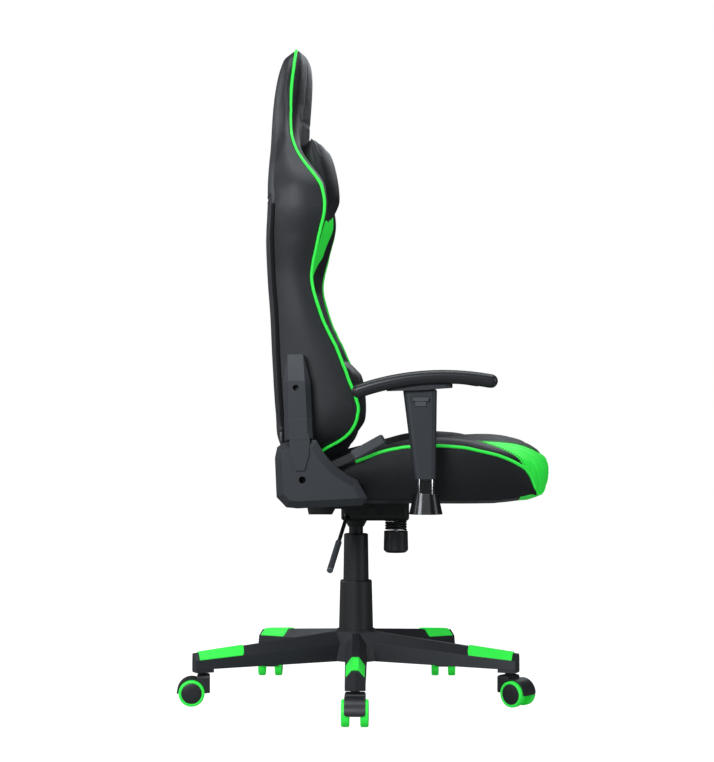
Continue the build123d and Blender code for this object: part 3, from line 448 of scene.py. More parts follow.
def bowed(corners, count, edge=0.0):
    # count + 1 points on a smooth line through the corners, with a row close to each end for the seam
    corners = np.array(corners, float)
    along = lengthAlong(corners)
    fine = np.linspace(0, along[-1], 240)
    line = np.column_stack([smoothThrough(along, column, fine) for column in corners.T])
    travelled = lengthAlong(line)
    total = travelled[-1]
    if edge:
        edge = min(edge, total / (count + 1))
        stops = np.concatenate([[0], np.linspace(edge, total - edge, count - 1), [total]])
    else:
        stops = np.linspace(0, total, count + 1)
    return np.column_stack([np.interp(stops, travelled, column) for column in line.T])


def halfRing(panels):
    # panels is a list of (corners, count); gives the points and where each seam is among them
    points, seams = [], []
    for corners, count in panels:
        line = bowed(corners, count, sewing["seamRow"])
        points.extend(line if not points else line[1:])
        seams.append(len(points) - 1)
    return points, seams[:-1]


def newPiece(name, verts, faces, finish):
    mesh = bpy.data.meshes.new(name)
    mesh.from_pydata([tuple(vert) for vert in verts], [], faces)
    mesh.materials.append(finishes[finish])
    return addObject(name, mesh)


def tubeFaces(rings, around, base=0):
    # faces of a tube of rings of points, counted from point number base, with a cap at each end
    faces = []
    end = base + (rings - 1) * around
    for start in range(base, end, around):
        for spot in range(around):
            after = (spot + 1) % around
            faces.append((start + spot, start + after, start + around + after, start + around + spot))
    faces.append(tuple(range(base + around - 1, base - 1, -1)))
    faces.append(tuple(range(end, end + around)))
    return faces


def selectOnly(piece):
    bpy.ops.object.select_all(action="DESELECT")
    piece.select_set(True)
    bpy.context.view_layer.objects.active = piece


def closeUp(piece):
    # turns all faces of a closed piece outwards
    selectOnly(piece)
    switchTo(mode="EDIT")
    bpy.ops.mesh.select_all(action="SELECT")
    bpy.ops.mesh.normals_make_consistent(inside=False)
    switchTo(mode="OBJECT")
    piece.select_set(False)
    shadeSmooth(piece)


def shadeSmooth(piece):
    piece.data.polygons.foreach_set("use_smooth", [True] * len(piece.data.polygons))
    piece.data.update()


def applyModifier(piece, modifier):
    selectOnly(piece)
    bpy.ops.object.modifier_apply(modifier=modifier.name)
    piece.select_set(False)


def refine(piece):
    modifier = piece.modifiers.new("refine", "SUBSURF")
    modifier.levels = 1
    modifier.render_levels = 1
    applyModifier(piece, modifier)
    shadeSmooth(piece)


class SewnCover:
    # a closed cover made of rings
    # ringAt gives half a ring as (depth, width) points, and place sets it in space
    def __init__(self, name, stations, ringAt, place, finish):
        verts = []
        for station in stations:
            points, self.seams = ringAt(station)
            mirrored = [(depth, -width) for depth, width in points[-2:0:-1]]
            verts.extend(place(station, depth, width) for depth, width in [*points, *mirrored])
        self.around = 2 * (len(points) - 1)
        self.rings = len(stations)
        faces = tubeFaces(self.rings, self.around)
        self.piece = newPiece(name, np.array(verts) * mm, faces, finish)
        closeUp(self.piece)

    def seamLines(self, seam):
        # the points along a seam, on the left (1) and the right (-1)
        coords = [vert.co.copy() for vert in self.piece.data.vertices]
        spot = self.seams[seam]
        return {1: coords[spot::self.around], -1: coords[self.around - spot::self.around]}

    def spots(self):
        # place of each vertex in its half ring, counted from the middle of the first panel
        spots = np.arange(len(self.piece.data.vertices)) % self.around
        return np.minimum(spots, self.around - spots)

    def puff(self, plainFrom=None):
        # sinks the seams and swells the panels between them; above plainFrom the first seam is left out
        spots = self.spots()
        onSeam = np.isin(spots, self.seams)
        if plainFrom:
            onSeam &= ~((spots == self.seams[0]) & (coordsOf(self.piece)[:, 2] > plainFrom))
        for index in np.nonzero(onSeam)[0]:
            vert = self.piece.data.vertices[int(index)]
            vert.co -= vert.normal * sewing["seamDepth"]
        ring = np.arange(len(spots)) // self.around
        pinned = onSeam | (ring == 0) | (ring == self.rings - 1)
        puffUp(self.piece, pinned, sewing["pressure"], sewing["cap"])


def coordsOf(piece):
    flat = np.zeros(len(piece.data.vertices) * 3)
    piece.data.vertices.foreach_get("co", flat)
    return flat.reshape(-1, 3)


def setCoords(piece, coords):
    piece.data.vertices.foreach_set("co", np.asarray(coords, float).ravel())
    piece.data.update()


clothFrames = 20
clothSettings = {
    "quality": 6, "mass": 0.3, "tension_stiffness": 12, "compression_stiffness": 12,
    "bending_stiffness": 0.6, "use_pressure": True,
}


def puffUp(piece, pinned, pressure, cap, slack=0.0):
    # air pressure swells the panels between their sewn lines, slack makes folds,
    # and the cap bounds every move
    before = coordsOf(piece)
    group = piece.vertex_groups.new(name="sewn")
    group.add([int(index) for index in np.nonzero(pinned)[0]], 1.0, "REPLACE")
    cloth = piece.modifiers.new("puff", "CLOTH")
    for name, value in clothSettings.items():
        setattr(cloth.settings, name, value)
    cloth.settings.vertex_group_mass = group.name
    cloth.settings.shrink_min = -slack
    cloth.settings.uniform_pressure_force = pressure
    cloth.settings.effector_weights.gravity = 0
    cloth.collision_settings.use_collision = False
    for step in range(1, clothFrames + 1):
        scene.frame_set(step)
    applyModifier(piece, cloth)
    scene.frame_set(1)
    moved = coordsOf(piece) - before
    far = np.linalg.norm(moved, axis=1, keepdims=True)
    setCoords(piece, before + moved * np.minimum(1, cap / np.maximum(far, 1e-9)))
    piece.vertex_groups.clear()


def ease(piece, weights, steps):
    # evens out a rough stretch of a piece
    group = piece.vertex_groups.new(name="eased")
    for index in np.nonzero(weights > 0.01)[0]:
        group.add([int(index)], float(weights[index]), "REPLACE")
    modifier = piece.modifiers.new("ease", "SMOOTH")
    modifier.factor = 0.5
    modifier.iterations = steps
    modifier.vertex_group = group.name
    applyModifier(piece, modifier)
    piece.vertex_groups.clear()


def setZone(piece, name, values):
    zone = piece.data.attributes.new(name, "FLOAT", "POINT")
    zone.data.foreach_set("value", np.asarray(values, np.float32))


def zoneOf(piece, name):
    values = np.zeros(len(piece.data.vertices), np.float32)
    piece.data.attributes[name].data.foreach_get("value", values)
    return values


def pressIn(piece, distance, within, groove):
    # a sewn groove: points near the line, where within is true, sink along their normals
    depth, width = groove
    sink = np.where(within, depth * np.exp(-(distance / width) ** 2), 0.0)
    flat = np.zeros(len(sink) * 3)
    piece.data.vertices.foreach_get("normal", flat)
    setCoords(piece, coordsOf(piece) - flat.reshape(-1, 3) * sink[:, None])


def gapToLine(points, line):
    # distance from each point to a polyline, in as many dimensions as both have
    points, line = np.asarray(points, float), np.asarray(line, float)
    best = np.full(len(points), 1e9)
    for start, end in zip(line[:-1], line[1:]):
        run = end - start
        t = np.clip(((points - start) @ run) / max(run @ run, 1e-12), 0, 1)
        best = np.minimum(best, np.linalg.norm(points - (start + t[:, None] * run), axis=1))
    return best


def insideOf(points, outline):
    # whether each plan point lies inside a closed outline
    x, y = points[:, 0], points[:, 1]
    inside = np.zeros(len(points), bool)
    for (x1, y1), (x2, y2) in zip(outline, np.roll(outline, -1, axis=0)):
        if y1 == y2:
            continue
        crossing = (y1 > y) != (y2 > y)
        inside ^= crossing & (x < (x2 - x1) * (y - y1) / (y2 - y1) + x1)
    return inside


def sideStep(line, distance):
    # a plan line moved sideways, to its left when the distance is positive
    run = np.gradient(line, axis=0)
    left = np.column_stack([-run[:, 1], run[:, 0]]) / np.linalg.norm(run, axis=1, keepdims=True)
    return line + left * distance


def surfaceOf(piece):
    return BVHTree.FromObject(piece, bpy.context.evaluated_depsgraph_get())


def dropped(tree, starts, direction):
    # where straight lines meet the surface; points that miss are left out
    found = []
    for start in starts:
        place = tree.ray_cast(Vector(start), Vector(direction))[0]
        if place is not None:
            found.append(place)
    return found


def evenSteps(points, step):
    points = np.array([tuple(point) for point in points])
    travelled = lengthAlong(points)
    count = max(2, int(travelled[-1] / step))
    stops = np.linspace(0, travelled[-1], count)
    return np.column_stack([np.interp(stops, travelled, column) for column in points.T])


stitch = {
    "pitch": 5.5 * mm,
    "length": 4.2 * mm,
    "radius": 0.6 * mm,
    "lift": 0.3,            # height of the thread's middle above the surface, in radii
    "corners": 5,
    # place along the stitch and how thick the thread is there
    "shape": ((-0.5, 0.25), (-0.32, 1.0), (0.32, 1.0), (0.5, 0.25)),
}


def stitchAlong(name, tree, points, body, finish="thread"):
    # one short thread after another, lying half sunk on the surface
    stops = evenSteps(points, stitch["pitch"])
    radius, corners, shape = stitch["radius"], stitch["corners"], stitch["shape"]
    verts, faces = [], []
    for before, after in zip(stops[:-1], stops[1:]):
        spot, normal = tree.find_nearest(Vector((before + after) / 2))[:2]
        if spot is None:
            continue
        along = Vector(after - before).normalized()
        across = normal.cross(along).normalized()
        faces.extend(tubeFaces(len(shape), corners, len(verts)))
        for shift, swell in shape:
            middle = spot + normal * radius * stitch["lift"] + along * shift * stitch["length"]
            for corner in range(corners):
                angle = 2 * math.pi * corner / corners
                reach = across * math.cos(angle) + normal * math.sin(angle)
                verts.append(middle + reach * radius * swell)
    piece = newPiece(name, verts, faces, finish)
    closeUp(piece)
    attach(piece, body)


def pipeAlong(name, points, radius, body, finish="piping", closed=False):
    # a round welt: a smooth curve with a round section, made a mesh
    curve = bpy.data.curves.new(name, "CURVE")
    curve.dimensions = "3D"
    curve.bevel_depth = radius
    curve.bevel_resolution = 3
    curve.use_fill_caps = True
    spline = curve.splines.new("POLY")
    spline.points.add(len(points) - 1)
    for spot, point in zip(spline.points, points):
        spot.co = (*point, 1)
    spline.use_cyclic_u = closed
    drawn = addObject(name + "Line", curve)
    bpy.context.view_layer.update()
    mesh = bpy.data.meshes.new_from_object(drawn.evaluated_get(bpy.context.evaluated_depsgraph_get()))
    bpy.data.objects.remove(drawn)
    mesh.name = name
    mesh.materials.clear()
    mesh.materials.append(finishes[finish])
    piece = addObject(name, mesh)
    shadeSmooth(piece)
    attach(piece, body)


# Seat cushion

seat = {
    # along X: half width, side piping, bolster crest, middle, underside
    "rows": [
        (-80, 232, 450, 461, 463, 404),
        (-64, 235, 456, 471, 471, 398.8),
        (-30, 238, 465, 481, 478, 398.6),
        (0, 241, 474, 488, 482, 398.6),
        (60, 246, 496, 504.5, 489, 398.6),
        (100, 251, 503.5, 515, 494, 398.6),
        (150, 256, 506, 520, 502, 398.6),
        (200, 256, 503, 517, 508.5, 398.6),
        (240, 253, 495, 508, 511.5, 398.8),
        (268, 249, 488, 501, 512, 399),
        (310, 236, 469, 489, 507, 402.4),
        (328, 223, 452, 482, 501, 403.6),
        (335, 216, 437, 479, 498, 404.2),
        (340, 211, 416, 477, 496, 404.8),
        (352, 188, 412, 471, 489, 406),
        (362, 161, 420, 466, 482, 416),
        (369, 130, 435, 462, 475, 432),
        (374, 97, 446, 461, 469, 443),
        (377.5, 62, 455, 460, 464, 453),
    ],
    "tightFrom": 306,       # the nose has closer rings than the rest
    "noseStep": 3,
    "bolster": 40,
    "foot": 20,             # how far the side panel leans in towards its lower edge
    "easeFrom": (0.3, 0.345),
    "easeSteps": 14,
    # plan outline of the green panel: distance forward and distance from the middle
    "greenEdge": [
        (364, 0), (361, 56), (347, 92), (326, 114), (288, 136),
        (236, 168), (248, 194), (282, 212), (318, 226), (340, 240),
    ],
    "greenBeyond": [(420, 260), (420, -10), (360, -10)],
    "greenGroove": (1.6 * mm, 3.6 * mm),    # depth and width
    "rearChannels": (-0.028, -0.056),
    "rearHalf": 0.125,      # the channels behind the green panel end here, to each side
    "noseChannels": (0.024, 0.048),
    "channelGroove": (1.3 * mm, 3.6 * mm),
    "pipingEnds": (1, 339),
    "wrapFrom": 342,        # ahead of this the green goes down the side
    "underFrom": 311,       # and ahead of this it lies under the nose
    "hem": (4, 5, 24),      # height of the lower seam, its rise at the nose, and how far that takes
    "stitchRings": slice(3, -12),
    "threadGap": 4 * mm,
    "threadTo": 0.355,
    "threadOver": 0.45,
    "dropFrom": 0.6,
}


def seatRing(station):
    x, half, piping, crest, middle, under = station
    bolster = min(seat["bolster"], half * 0.2)
    rise = crest - piping
    foot = min(seat["foot"], (piping - under) * 0.3)
    low, climb, run = seat["hem"]
    roll = low + climb * np.clip((x - seat["underFrom"]) / run, 0, 1) ** 2
    hem = under + min(roll, (piping - under) * 0.55)
    # underside, side, bolster and middle: corners, and how many rows
    panels = [
        ([(under, 0), (under, half - 60), (under + 1, half - foot - 9), (hem, half - foot)], 18),
        ([(hem, half - foot), ((hem + piping) / 2, half - foot * 0.3), (piping, half - 1)], 11),
        ([(piping, half - 1), (piping + rise * 0.72, half - bolster * 0.35), (crest, half - bolster),
          ((crest + middle) / 2 + 1, half * 0.66), (middle, half * 0.5)], 16),
        ([(middle, half * 0.5), (middle + 5, half * 0.25), (middle + 6, 0)], 10),
    ]
    return halfRing(panels)


def alongRows(rows, stops):
    columns = np.array(rows, float).T
    values = [smoothThrough(columns[0], column, stops) for column in columns[1:]]
    return [tuple(row) for row in np.column_stack([stops, *values])]


def makeSeatCushion():
    first, last, tight = seat["rows"][0][0], seat["rows"][-1][0], seat["tightFrom"]
    stops = np.concatenate([
        np.arange(first, tight, sewing["ringStep"]),
        np.arange(tight, last - 1, seat["noseStep"]), [last],
    ])
    cover = SewnCover(
        "seatCover", alongRows(seat["rows"], stops), seatRing,
        lambda station, depth, width: (station[0], width, depth), "seatShadedLeather",
    )
    piece = cover.piece
    cover.puff()
    ease(piece, np.interp(coordsOf(piece)[:, 0], seat["easeFrom"], (0, 1)), seat["easeSteps"])
    spots = cover.spots()
    lower, piping = cover.seams[:2]
    # the top ends a little below the piping
    setZone(piece, "topSide", np.where(spots > piping, 1.0, np.where(spots == piping, 0.3, -1.0)))
    setZone(piece, "underSide", np.where(spots <= lower, 1.0, -1.0))
    pipingLines, innerLines = cover.seamLines(1), cover.seamLines(2)
    refine(piece)

    edge = bowed(np.array(seat["greenEdge"]) * mm, 60)
    outline = np.vstack([edge, np.array(seat["greenBeyond"]) * mm])
    coords = coordsOf(piece)
    plan = np.column_stack([coords[:, 0], np.abs(coords[:, 1])])
    gap = gapToLine(plan, edge)
    signed = np.where(insideOf(plan, outline), gap, -gap)
    topSide = np.where(coords[:, 0] > seat["wrapFrom"] * mm, 1.0, zoneOf(piece, "topSide"))
    above = np.minimum(signed, topSide * sewing["zoneReach"])
    underSide = zoneOf(piece, "underSide") * sewing["zoneReach"]
    below = np.minimum(coords[:, 0] - seat["underFrom"] * mm, underSide)
    setZone(piece, "greenZone", np.maximum(above, below))
    onTop = topSide > 0
    inMiddle = plan[:, 1] <= seat["rearHalf"]
    pressIn(piece, np.abs(signed), onTop, seat["greenGroove"])
    for channel in seat["noseChannels"]:
        pressIn(piece, np.abs(signed - channel), onTop, seat["channelGroove"])
    for channel in seat["rearChannels"]:
        pressIn(piece, np.abs(signed - channel), onTop & inMiddle, seat["channelGroove"])
    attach(piece, "seat")
    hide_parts("seat_cushion")

    tree = surfaceOf(piece)
    first, last = (end * mm for end in seat["pipingEnds"])
    drop, gap, ahead = seat["dropFrom"], seat["threadGap"], seat["threadTo"]
    for side, name in sides:
        sewn = [spot for spot in pipingLines[side] if first < spot.x < last]
        route = [spot + tree.find_nearest(spot)[1] * sewing["pipingOut"] for spot in sewn]
        pipeAlong(f"seatPiping_{name}", route, sewing["pipingRadius"], "seat")
        stitchAlong(f"seatInnerStitch_{name}", tree, innerLines[side][seat["stitchRings"]], "seat")
        for thread, shift in (("thread", -gap), ("threadGreen", gap)):
            beside = sideStep(edge, shift)
            starts = [(x, side * y, drop) for x, y in beside if 0 < y and x < ahead]
            landed = dropped(tree, starts, (0, 0, -1))
            found = [spot for spot in landed if spot.z > seat["threadOver"]]
            stitchAlong(f"seat_{thread}_{name}", tree, found, "seat", thread)


# Backrest

back = {
    # along Z: rear face, side piping, bolster front, middle front, half width
    "rows": [
        (463, -112, -92, -90, -92, 186),
        (470, -124, -86, -72, -80, 197),
        (479, -131, -78, -46, -66, 205),
        (487, -134, -69, -22, -58, 210),
        (499, -137, -53, -7, -54, 217),
        (513, -139.5, -26.5, 0, -51, 226),
        (529, -141, -6.3, 3.5, -49.5, 233),
        (553, -142, 7, 6.5, -48, 238),
        (574, -143.5, 10.5, 9, -47, 240),
        (600, -145.5, 4, 3, -50, 240.5),
        (627, -147, -7, -8, -55, 241),
        (680, -150, -27, -29, -67, 242),
        (750, -153, -59, -61, -89, 245),
        (820, -158, -76, -78, -104, 247),
        (890, -160, -63, -62, -108, 259),
        (950, -157, -51, -47, -107, 269),
        (985, -156, -57, -51, -106, 267),
        (1005, -155.5, -69.5, -60, -105, 260),
        (1030, -155, -89, -79, -105, 244),
        (1060, -154.5, -107.5, -97.5, -104, 214),
        (1095, -154.2, -117.8, -107.5, -102, 179),
        (1125, -153.3, -120.2, -108.5, -100, 161),
        (1155, -151.5, -120.5, -108, -97.5, 151.5),
        (1187, -147.8, -118.7, -105, -94.5, 147),
        (1222, -142, -115, -102, -92.5, 138),
        (1238, -139, -114, -102, -93, 128),
        (1250, -136, -113, -103, -95.5, 115),
        (1259, -132.5, -113, -105, -99, 99),
        (1265, -128.5, -113.5, -107.5, -103, 82),
        (1269, -124, -114, -110, -107.5, 62),
        (1271.5, -119, -114.5, -112.5, -111.5, 40),
    ],
    "headStep": 2.5,
    "tightFrom": 1246,
    "pipingLean": (0.3, 1, 1),
    "stitchRings": slice(8, -12),
    "sideSeam": [(-118, 1096), (-128, 1091), (-138, 1078), (-146, 1062)],
    "middleSeams": (716, 1128),
    "rearSeam": 966,
    "rearStitch": (5, 0.235),   # distance from the seam, and half its length
    "castFrom": -0.3,
    # depth and width of the sewn grooves
    "sideGroove": (1.2 * mm, 2.6 * mm),
    "middleGroove": (1.2 * mm, 3.4 * mm),
    "rearGroove": (1.0 * mm, 3.4 * mm),
    # green inserts: levels, and the share of the bolster that is left black in front there
    "insertLevels": (0.838, 0.88, 0.94, 1.02, 1.06),
    "insertFront": (0.72, 0.46, 0.36, 0.36, 0.6),
    "bolsterReach": 0.12,
    "sideSwell": 7,
    "pipingFrom": 488,
    "easeFrom": (1.05, 1.09),
    "easeSteps": 12,
    "zipFrom": 488,
    "zipTo": 955,
}


def backRing(station):
    rear, piping, bolster, middle, half = station[1:]
    full = min(1, (middle - rear) / 40)
    corner = min(9, (piping - rear) * 0.45)
    edge = rear + corner
    # rear, side, bolster and middle: corners, and how many rows
    panels = [
        ([(rear - 3 * full, 0), (rear - 2 * full, half * 0.55), (rear + full, half - 32),
          (rear + corner * 0.42, half - 11), (edge, half - 3)], 20),
        ([(edge, half - 3), ((edge + piping) / 2, half + back["sideSwell"] * full),
          (piping, half - 2)], 12),
        ([(piping, half - 2), (bolster, half * 0.87), (bolster - (bolster - middle) * 0.5, half * 0.68),
          (middle, half * 0.5)], 15),
        ([(middle, half * 0.5), (middle + 4 * full, half * 0.25), (middle + 5 * full, 0)], 11),
    ]
    return halfRing(panels)


def makeBackrest():
    first, last, tight = back["rows"][0][0], back["rows"][-1][0], back["tightFrom"]
    stops = np.concatenate([
        [first, first + 3], np.arange(first + 6, tight, sewing["ringStep"]),
        np.arange(tight, last - 1, back["headStep"]), [last],
    ])
    cover = SewnCover(
        "backCover", alongRows(back["rows"], stops), backRing,
        lambda station, depth, width: (depth, width, station[0]), "leatherTwoTone",
    )
    piece = cover.piece
    cover.puff(plainFrom=back["zipTo"] * mm)
    onHead = np.interp(coordsOf(piece)[:, 2], back["easeFrom"], (0, 1))
    ease(piece, onHead * (cover.spots() < cover.seams[1] - 1), back["easeSteps"])
    setZone(piece, "acrossRing", cover.spots())
    rearLines, pipingLines, innerLines = (cover.seamLines(seam) for seam in range(3))
    refine(piece)
    coords = coordsOf(piece)
    z = coords[:, 2]
    spots = zoneOf(piece, "acrossRing")
    rearEdge, piping, inner = cover.seams
    sideSeam = bowed(np.array(back["sideSeam"]) * mm, 24)
    onSide = (spots > rearEdge) & (spots < piping)
    pressIn(piece, gapToLine(coords[:, ::2], sideSeam), onSide, back["sideGroove"])
    for level in back["middleSeams"]:
        pressIn(piece, np.abs(z - level * mm), spots >= inner, back["middleGroove"])
    pressIn(piece, np.abs(z - back["rearSeam"] * mm), spots <= rearEdge, back["rearGroove"])

    # green insert on the inner face of each bolster, pointed at its lower end
    share = (spots - piping) / (inner - piping)
    levels = back["insertLevels"]
    front = np.interp(z, levels, back["insertFront"])
    reach = np.minimum(share - front, 1.0 - share) * back["bolsterReach"]
    ends = np.minimum(z - levels[0], levels[-1] - z)
    setZone(piece, "greenZone", np.minimum(reach, ends))
    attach(piece, "back")
    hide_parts("back_cushion")

    tree = surfaceOf(piece)
    route = []
    for spot in [*pipingLines[-1], *pipingLines[1][::-1]]:
        if spot.z > back["pipingFrom"] * mm:
            outward = tree.find_nearest(spot)[1] * Vector(back["pipingLean"])
            route.append(spot + outward.normalized() * sewing["pipingOut"])
    pipeAlong("backPiping", route, sewing["pipingRadius"], "back")
    for side, name in sides:
        stitchAlong(f"backInnerStitch_{name}", tree, innerLines[side][back["stitchRings"]], "back")
    gap, half = back["rearStitch"]
    for number, shift in enumerate((-gap, gap)):
        level = (back["rearSeam"] + shift) * mm
        starts = [(back["castFrom"], y, level) for y in np.linspace(-half, half, 90)]
        stitchAlong(f"rearStitch_{number + 1}", tree, dropped(tree, starts, (1, 0, 0)), "back")
    return tree, rearLines


# Pillows

pillows = {
    # seam ends in X and Z, half width, how far the front and the rear stand out from the seam
    "neck_pillow": {"top": (-84, 1096), "bottom": (-57, 944), "halfWidth": 144, "front": 28, "rear": 44},
    "lumbar_pillow": {"top": (-26, 668), "bottom": (-14, 508), "halfWidth": 158, "front": 33, "rear": 40},
}
pillowCloth = {
    "across": 46, "up": 30, "corner": 0.4,
    "fallAcross": (3, 0.55),    # how the swell falls off towards the seam
    "fallUp": (2.3, 0.51),
    "pressure": 3.0, "cap": 6 * mm, "slack": 0.035,
    "rest": 1.2 * mm,           # gap to the back
    "castFrom": 0.3,
    "seamRadius": 1.3 * mm,
}


def pillowFace(shape, u, v, side):
    # a point of the front (1) or the rear (-1) face, for places across and up from -1 to 1
    corner = pillowCloth["corner"]
    top, bottom = (np.array(shape[end], float) for end in ("top", "bottom"))
    up = (top - bottom) / 2
    out = np.array([up[1], -up[0]]) / np.linalg.norm(up)
    swell = 1
    for place, (bend, power) in ((u, pillowCloth["fallAcross"]), (v, pillowCloth["fallUp"])):
        swell *= (1 - abs(place) ** bend) ** power
    stand = swell * (shape["front"] if side > 0 else -shape["rear"])
    x, z = (top + bottom) / 2 + up * v * math.sqrt(1 - corner * u * u / 2) + out * stand
    return (x, shape["halfWidth"] * u * math.sqrt(1 - corner * v * v / 2), z)


def makePillow(name, shape, backTree):
    across, up = pillowCloth["across"], pillowCloth["up"]
    verts, faces, rim = [], [], {}
    for side in (1, -1):
        number = {}
        for i in range(across + 1):
            for j in range(up + 1):
                onRim = i in (0, across) or j in (0, up)
                if onRim and (i, j) in rim:
                    number[i, j] = rim[i, j]
                    continue
                number[i, j] = len(verts)
                verts.append(pillowFace(shape, 2 * i / across - 1, 2 * j / up - 1, side))
                if onRim:
                    rim[i, j] = number[i, j]
        for i in range(across):
            for j in range(up):
                corners = (number[i, j], number[i + 1, j], number[i + 1, j + 1], number[i, j + 1])
                faces.append(corners[::side])
    piece = newPiece(name + "Cover", np.array(verts) * mm, faces, "leather")
    closeUp(piece)
    pinned = np.isin(np.arange(len(verts)), list(rim.values()))
    puffUp(piece, pinned, pillowCloth["pressure"], pillowCloth["cap"], pillowCloth["slack"])
    coords = coordsOf(piece)
    for point in coords:
        behind = backTree.ray_cast(Vector((pillowCloth["castFrom"], *point[1:])), Vector((-1, 0, 0)))[0]
        if behind is not None:
            point[0] = max(point[0], behind.x + pillowCloth["rest"])
    setCoords(piece, coords)
    order = [(i, 0) for i in range(across)] + [(across, j) for j in range(up)]
    order += [(i, up) for i in range(across, 0, -1)] + [(0, j) for j in range(up, 0, -1)]
    seam = [coords[rim[place]] for place in order]
    refine(piece)
    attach(piece, "back")
    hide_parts(name)
    pipeAlong(name + "Seam", seam, pillowCloth["seamRadius"], "back", "leather", closed=True)


# Zips down the rear edges of the back

zipShape = {
    "width": 15, "thick": 2.0, "step": 6, "shift": -3, "sharpFrom": 0.8,
    # section of the flap, in shares of its width and thickness
    "section": ((-0.5, -0.5), (-0.5, 0.5), (-0.4, 1.0), (0, 1.1), (0.4, 1.0), (0.5, 0.5), (0.5, -0.5)),
    "slider": (7, 4, 9), "sliderOut": 3, "pull": (5, 2.4, 18), "pullAt": 536,
    "pullHang": (2, -14),       # outwards and up from the slider
}
blockRound = 0.8 * mm


def bandAlong(name, tree, points, body, finish):
    # a flat strip with rounded edges that follows a surface
    width, thick, section = zipShape["width"] * mm, zipShape["thick"] * mm, zipShape["section"]
    stops = evenSteps(points, zipShape["step"] * mm)
    verts = []
    for number, stop in enumerate(stops):
        spot, normal = tree.find_nearest(Vector(stop))[:2]
        before, after = stops[max(number - 1, 0)], stops[min(number + 1, len(stops) - 1)]
        across = normal.cross(Vector(after - before)).normalized()
        for reach, height in section:
            foot, lift = tree.find_nearest(spot + across * reach * width)[:2]
            verts.append(foot + lift * height * thick)
    piece = newPiece(name, verts, tubeFaces(len(stops), len(section)), finish)
    closeUp(piece)
    selectOnly(piece)
    bpy.ops.object.shade_smooth_by_angle(angle=zipShape["sharpFrom"])
    piece.select_set(False)
    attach(piece, body)


def smallBlock(name, size, middle, body, finish):
    # a bevelled block, placed in its own mesh
    bpy.ops.object.select_all(action="DESELECT")
    bpy.ops.mesh.primitive_cube_add(size=1)
    piece = bpy.context.object
    piece.name = name
    piece.data.name = name
    piece.data.materials.append(finishes[finish])
    switchTo(mode="EDIT")
    bpy.ops.transform.resize(value=tuple(extent * mm for extent in size))
    bpy.ops.transform.translate(value=tuple(middle))
    switchTo(mode="OBJECT")
    modifier = piece.modifiers.new("round", "BEVEL")
    modifier.width = blockRound
    modifier.segments = 3
    applyModifier(piece, modifier)
    shadeSmooth(piece)
    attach(piece, body)


def makeZips(tree, rearLines):
    low, high = back["zipFrom"] * mm, back["zipTo"] * mm
    shift = Vector((zipShape["shift"] * mm, 0, 0))
    outward, upward = (way * mm for way in zipShape["pullHang"])
    for side, name in sides:
        line = [spot + shift for spot in rearLines[side] if low < spot.z < high]
        bandAlong(f"zipFlap_{name}", tree, line, "back", "tape")
        heights = [spot.z for spot in line]
        at = [np.interp(zipShape["pullAt"] * mm, heights, axis) for axis in zip(*line)]
        spot, normal = tree.find_nearest(Vector(at))[:2]
        slider = spot + normal * zipShape["sliderOut"] * mm
        pull = slider + Vector((0, side * outward, upward))
        smallBlock(f"zipSlider_{name}", zipShape["slider"], slider, "back", "powder")
        smallBlock(f"zipPull_{name}", zipShape["pull"], pull, "back", "grip")


# Thin seats that close the slit between each arm plate and the front of its sleeve

armShim = {"size": (26, 36, 6), "at": (139, 312, 609.5)}


def makeArmShims():
    x, y, z = (place * mm for place in armShim["at"])
    for side, name in sides:
        middle = (x, side * y, z)
        smallBlock(f"armShim_{name}", armShim["size"], middle, f"arm_{name}", "cover")


# Caster wheels: a green tyre round a black disc

wheelShape = {
    "radius": 25, "width": 15, "sides": 72, "offset": 17.5, "sharpFrom": 0.6,
    "tyre": 4.2, "round": 3, "lip": 1.1, "lipDepth": 1.3,
    "dome": (3, 9), "domeRise": (0.9, 0.5), "innerRim": 5, "well": 5, "wellSlope": 1,
}


def capSelect(piece, up):
    bpy.ops.mesh.select_mode(type="FACE")
    switchTo(mode="OBJECT")
    for face in piece.data.polygons:
        face.select = face.normal.z * up > 0.9
    switchTo(mode="EDIT")


def makeWheelPattern():
    bpy.ops.object.select_all(action="DESELECT")
    radius, width = wheelShape["radius"] * mm, wheelShape["width"] * mm
    bpy.ops.mesh.primitive_cylinder_add(vertices=wheelShape["sides"], radius=radius, depth=width)
    wheel = bpy.context.object
    wheel.data.materials.append(finishes["rubber"])
    wheel.data.materials.append(finishes["hood"])
    switchTo(mode="EDIT")
    capSelect(wheel, 1)
    bpy.ops.mesh.inset(thickness=wheelShape["tyre"] * mm)
    bpy.ops.mesh.inset(thickness=wheelShape["lip"] * mm, depth=-wheelShape["lipDepth"] * mm)
    wheel.active_material_index = 1
    bpy.ops.object.material_slot_assign()
    for step, rise in zip(wheelShape["dome"], wheelShape["domeRise"]):
        bpy.ops.mesh.inset(thickness=step * mm, depth=rise * mm)
    capSelect(wheel, -1)
    bpy.ops.mesh.inset(thickness=wheelShape["innerRim"] * mm)
    bpy.ops.mesh.inset(thickness=wheelShape["wellSlope"] * mm, depth=-wheelShape["well"] * mm)
    bpy.ops.mesh.select_mode(type="EDGE")
    bpy.ops.mesh.select_all(action="DESELECT")
    switchTo(mode="OBJECT")
    verts = wheel.data.vertices
    for edge in wheel.data.edges:
        ends = [verts[index].co for index in edge.vertices]
        onTread = all(end.xy.length > radius * 0.999 for end in ends)
        edge.select = onTread and abs(ends[0].z - ends[1].z) < 1e-5
    switchTo(mode="EDIT")
    bpy.ops.mesh.bevel(offset=wheelShape["round"] * mm, segments=4, profile=0.5)
    switchTo(mode="OBJECT")
    bpy.ops.object.shade_smooth_by_angle(angle=wheelShape["sharpFrom"])
    return wheel


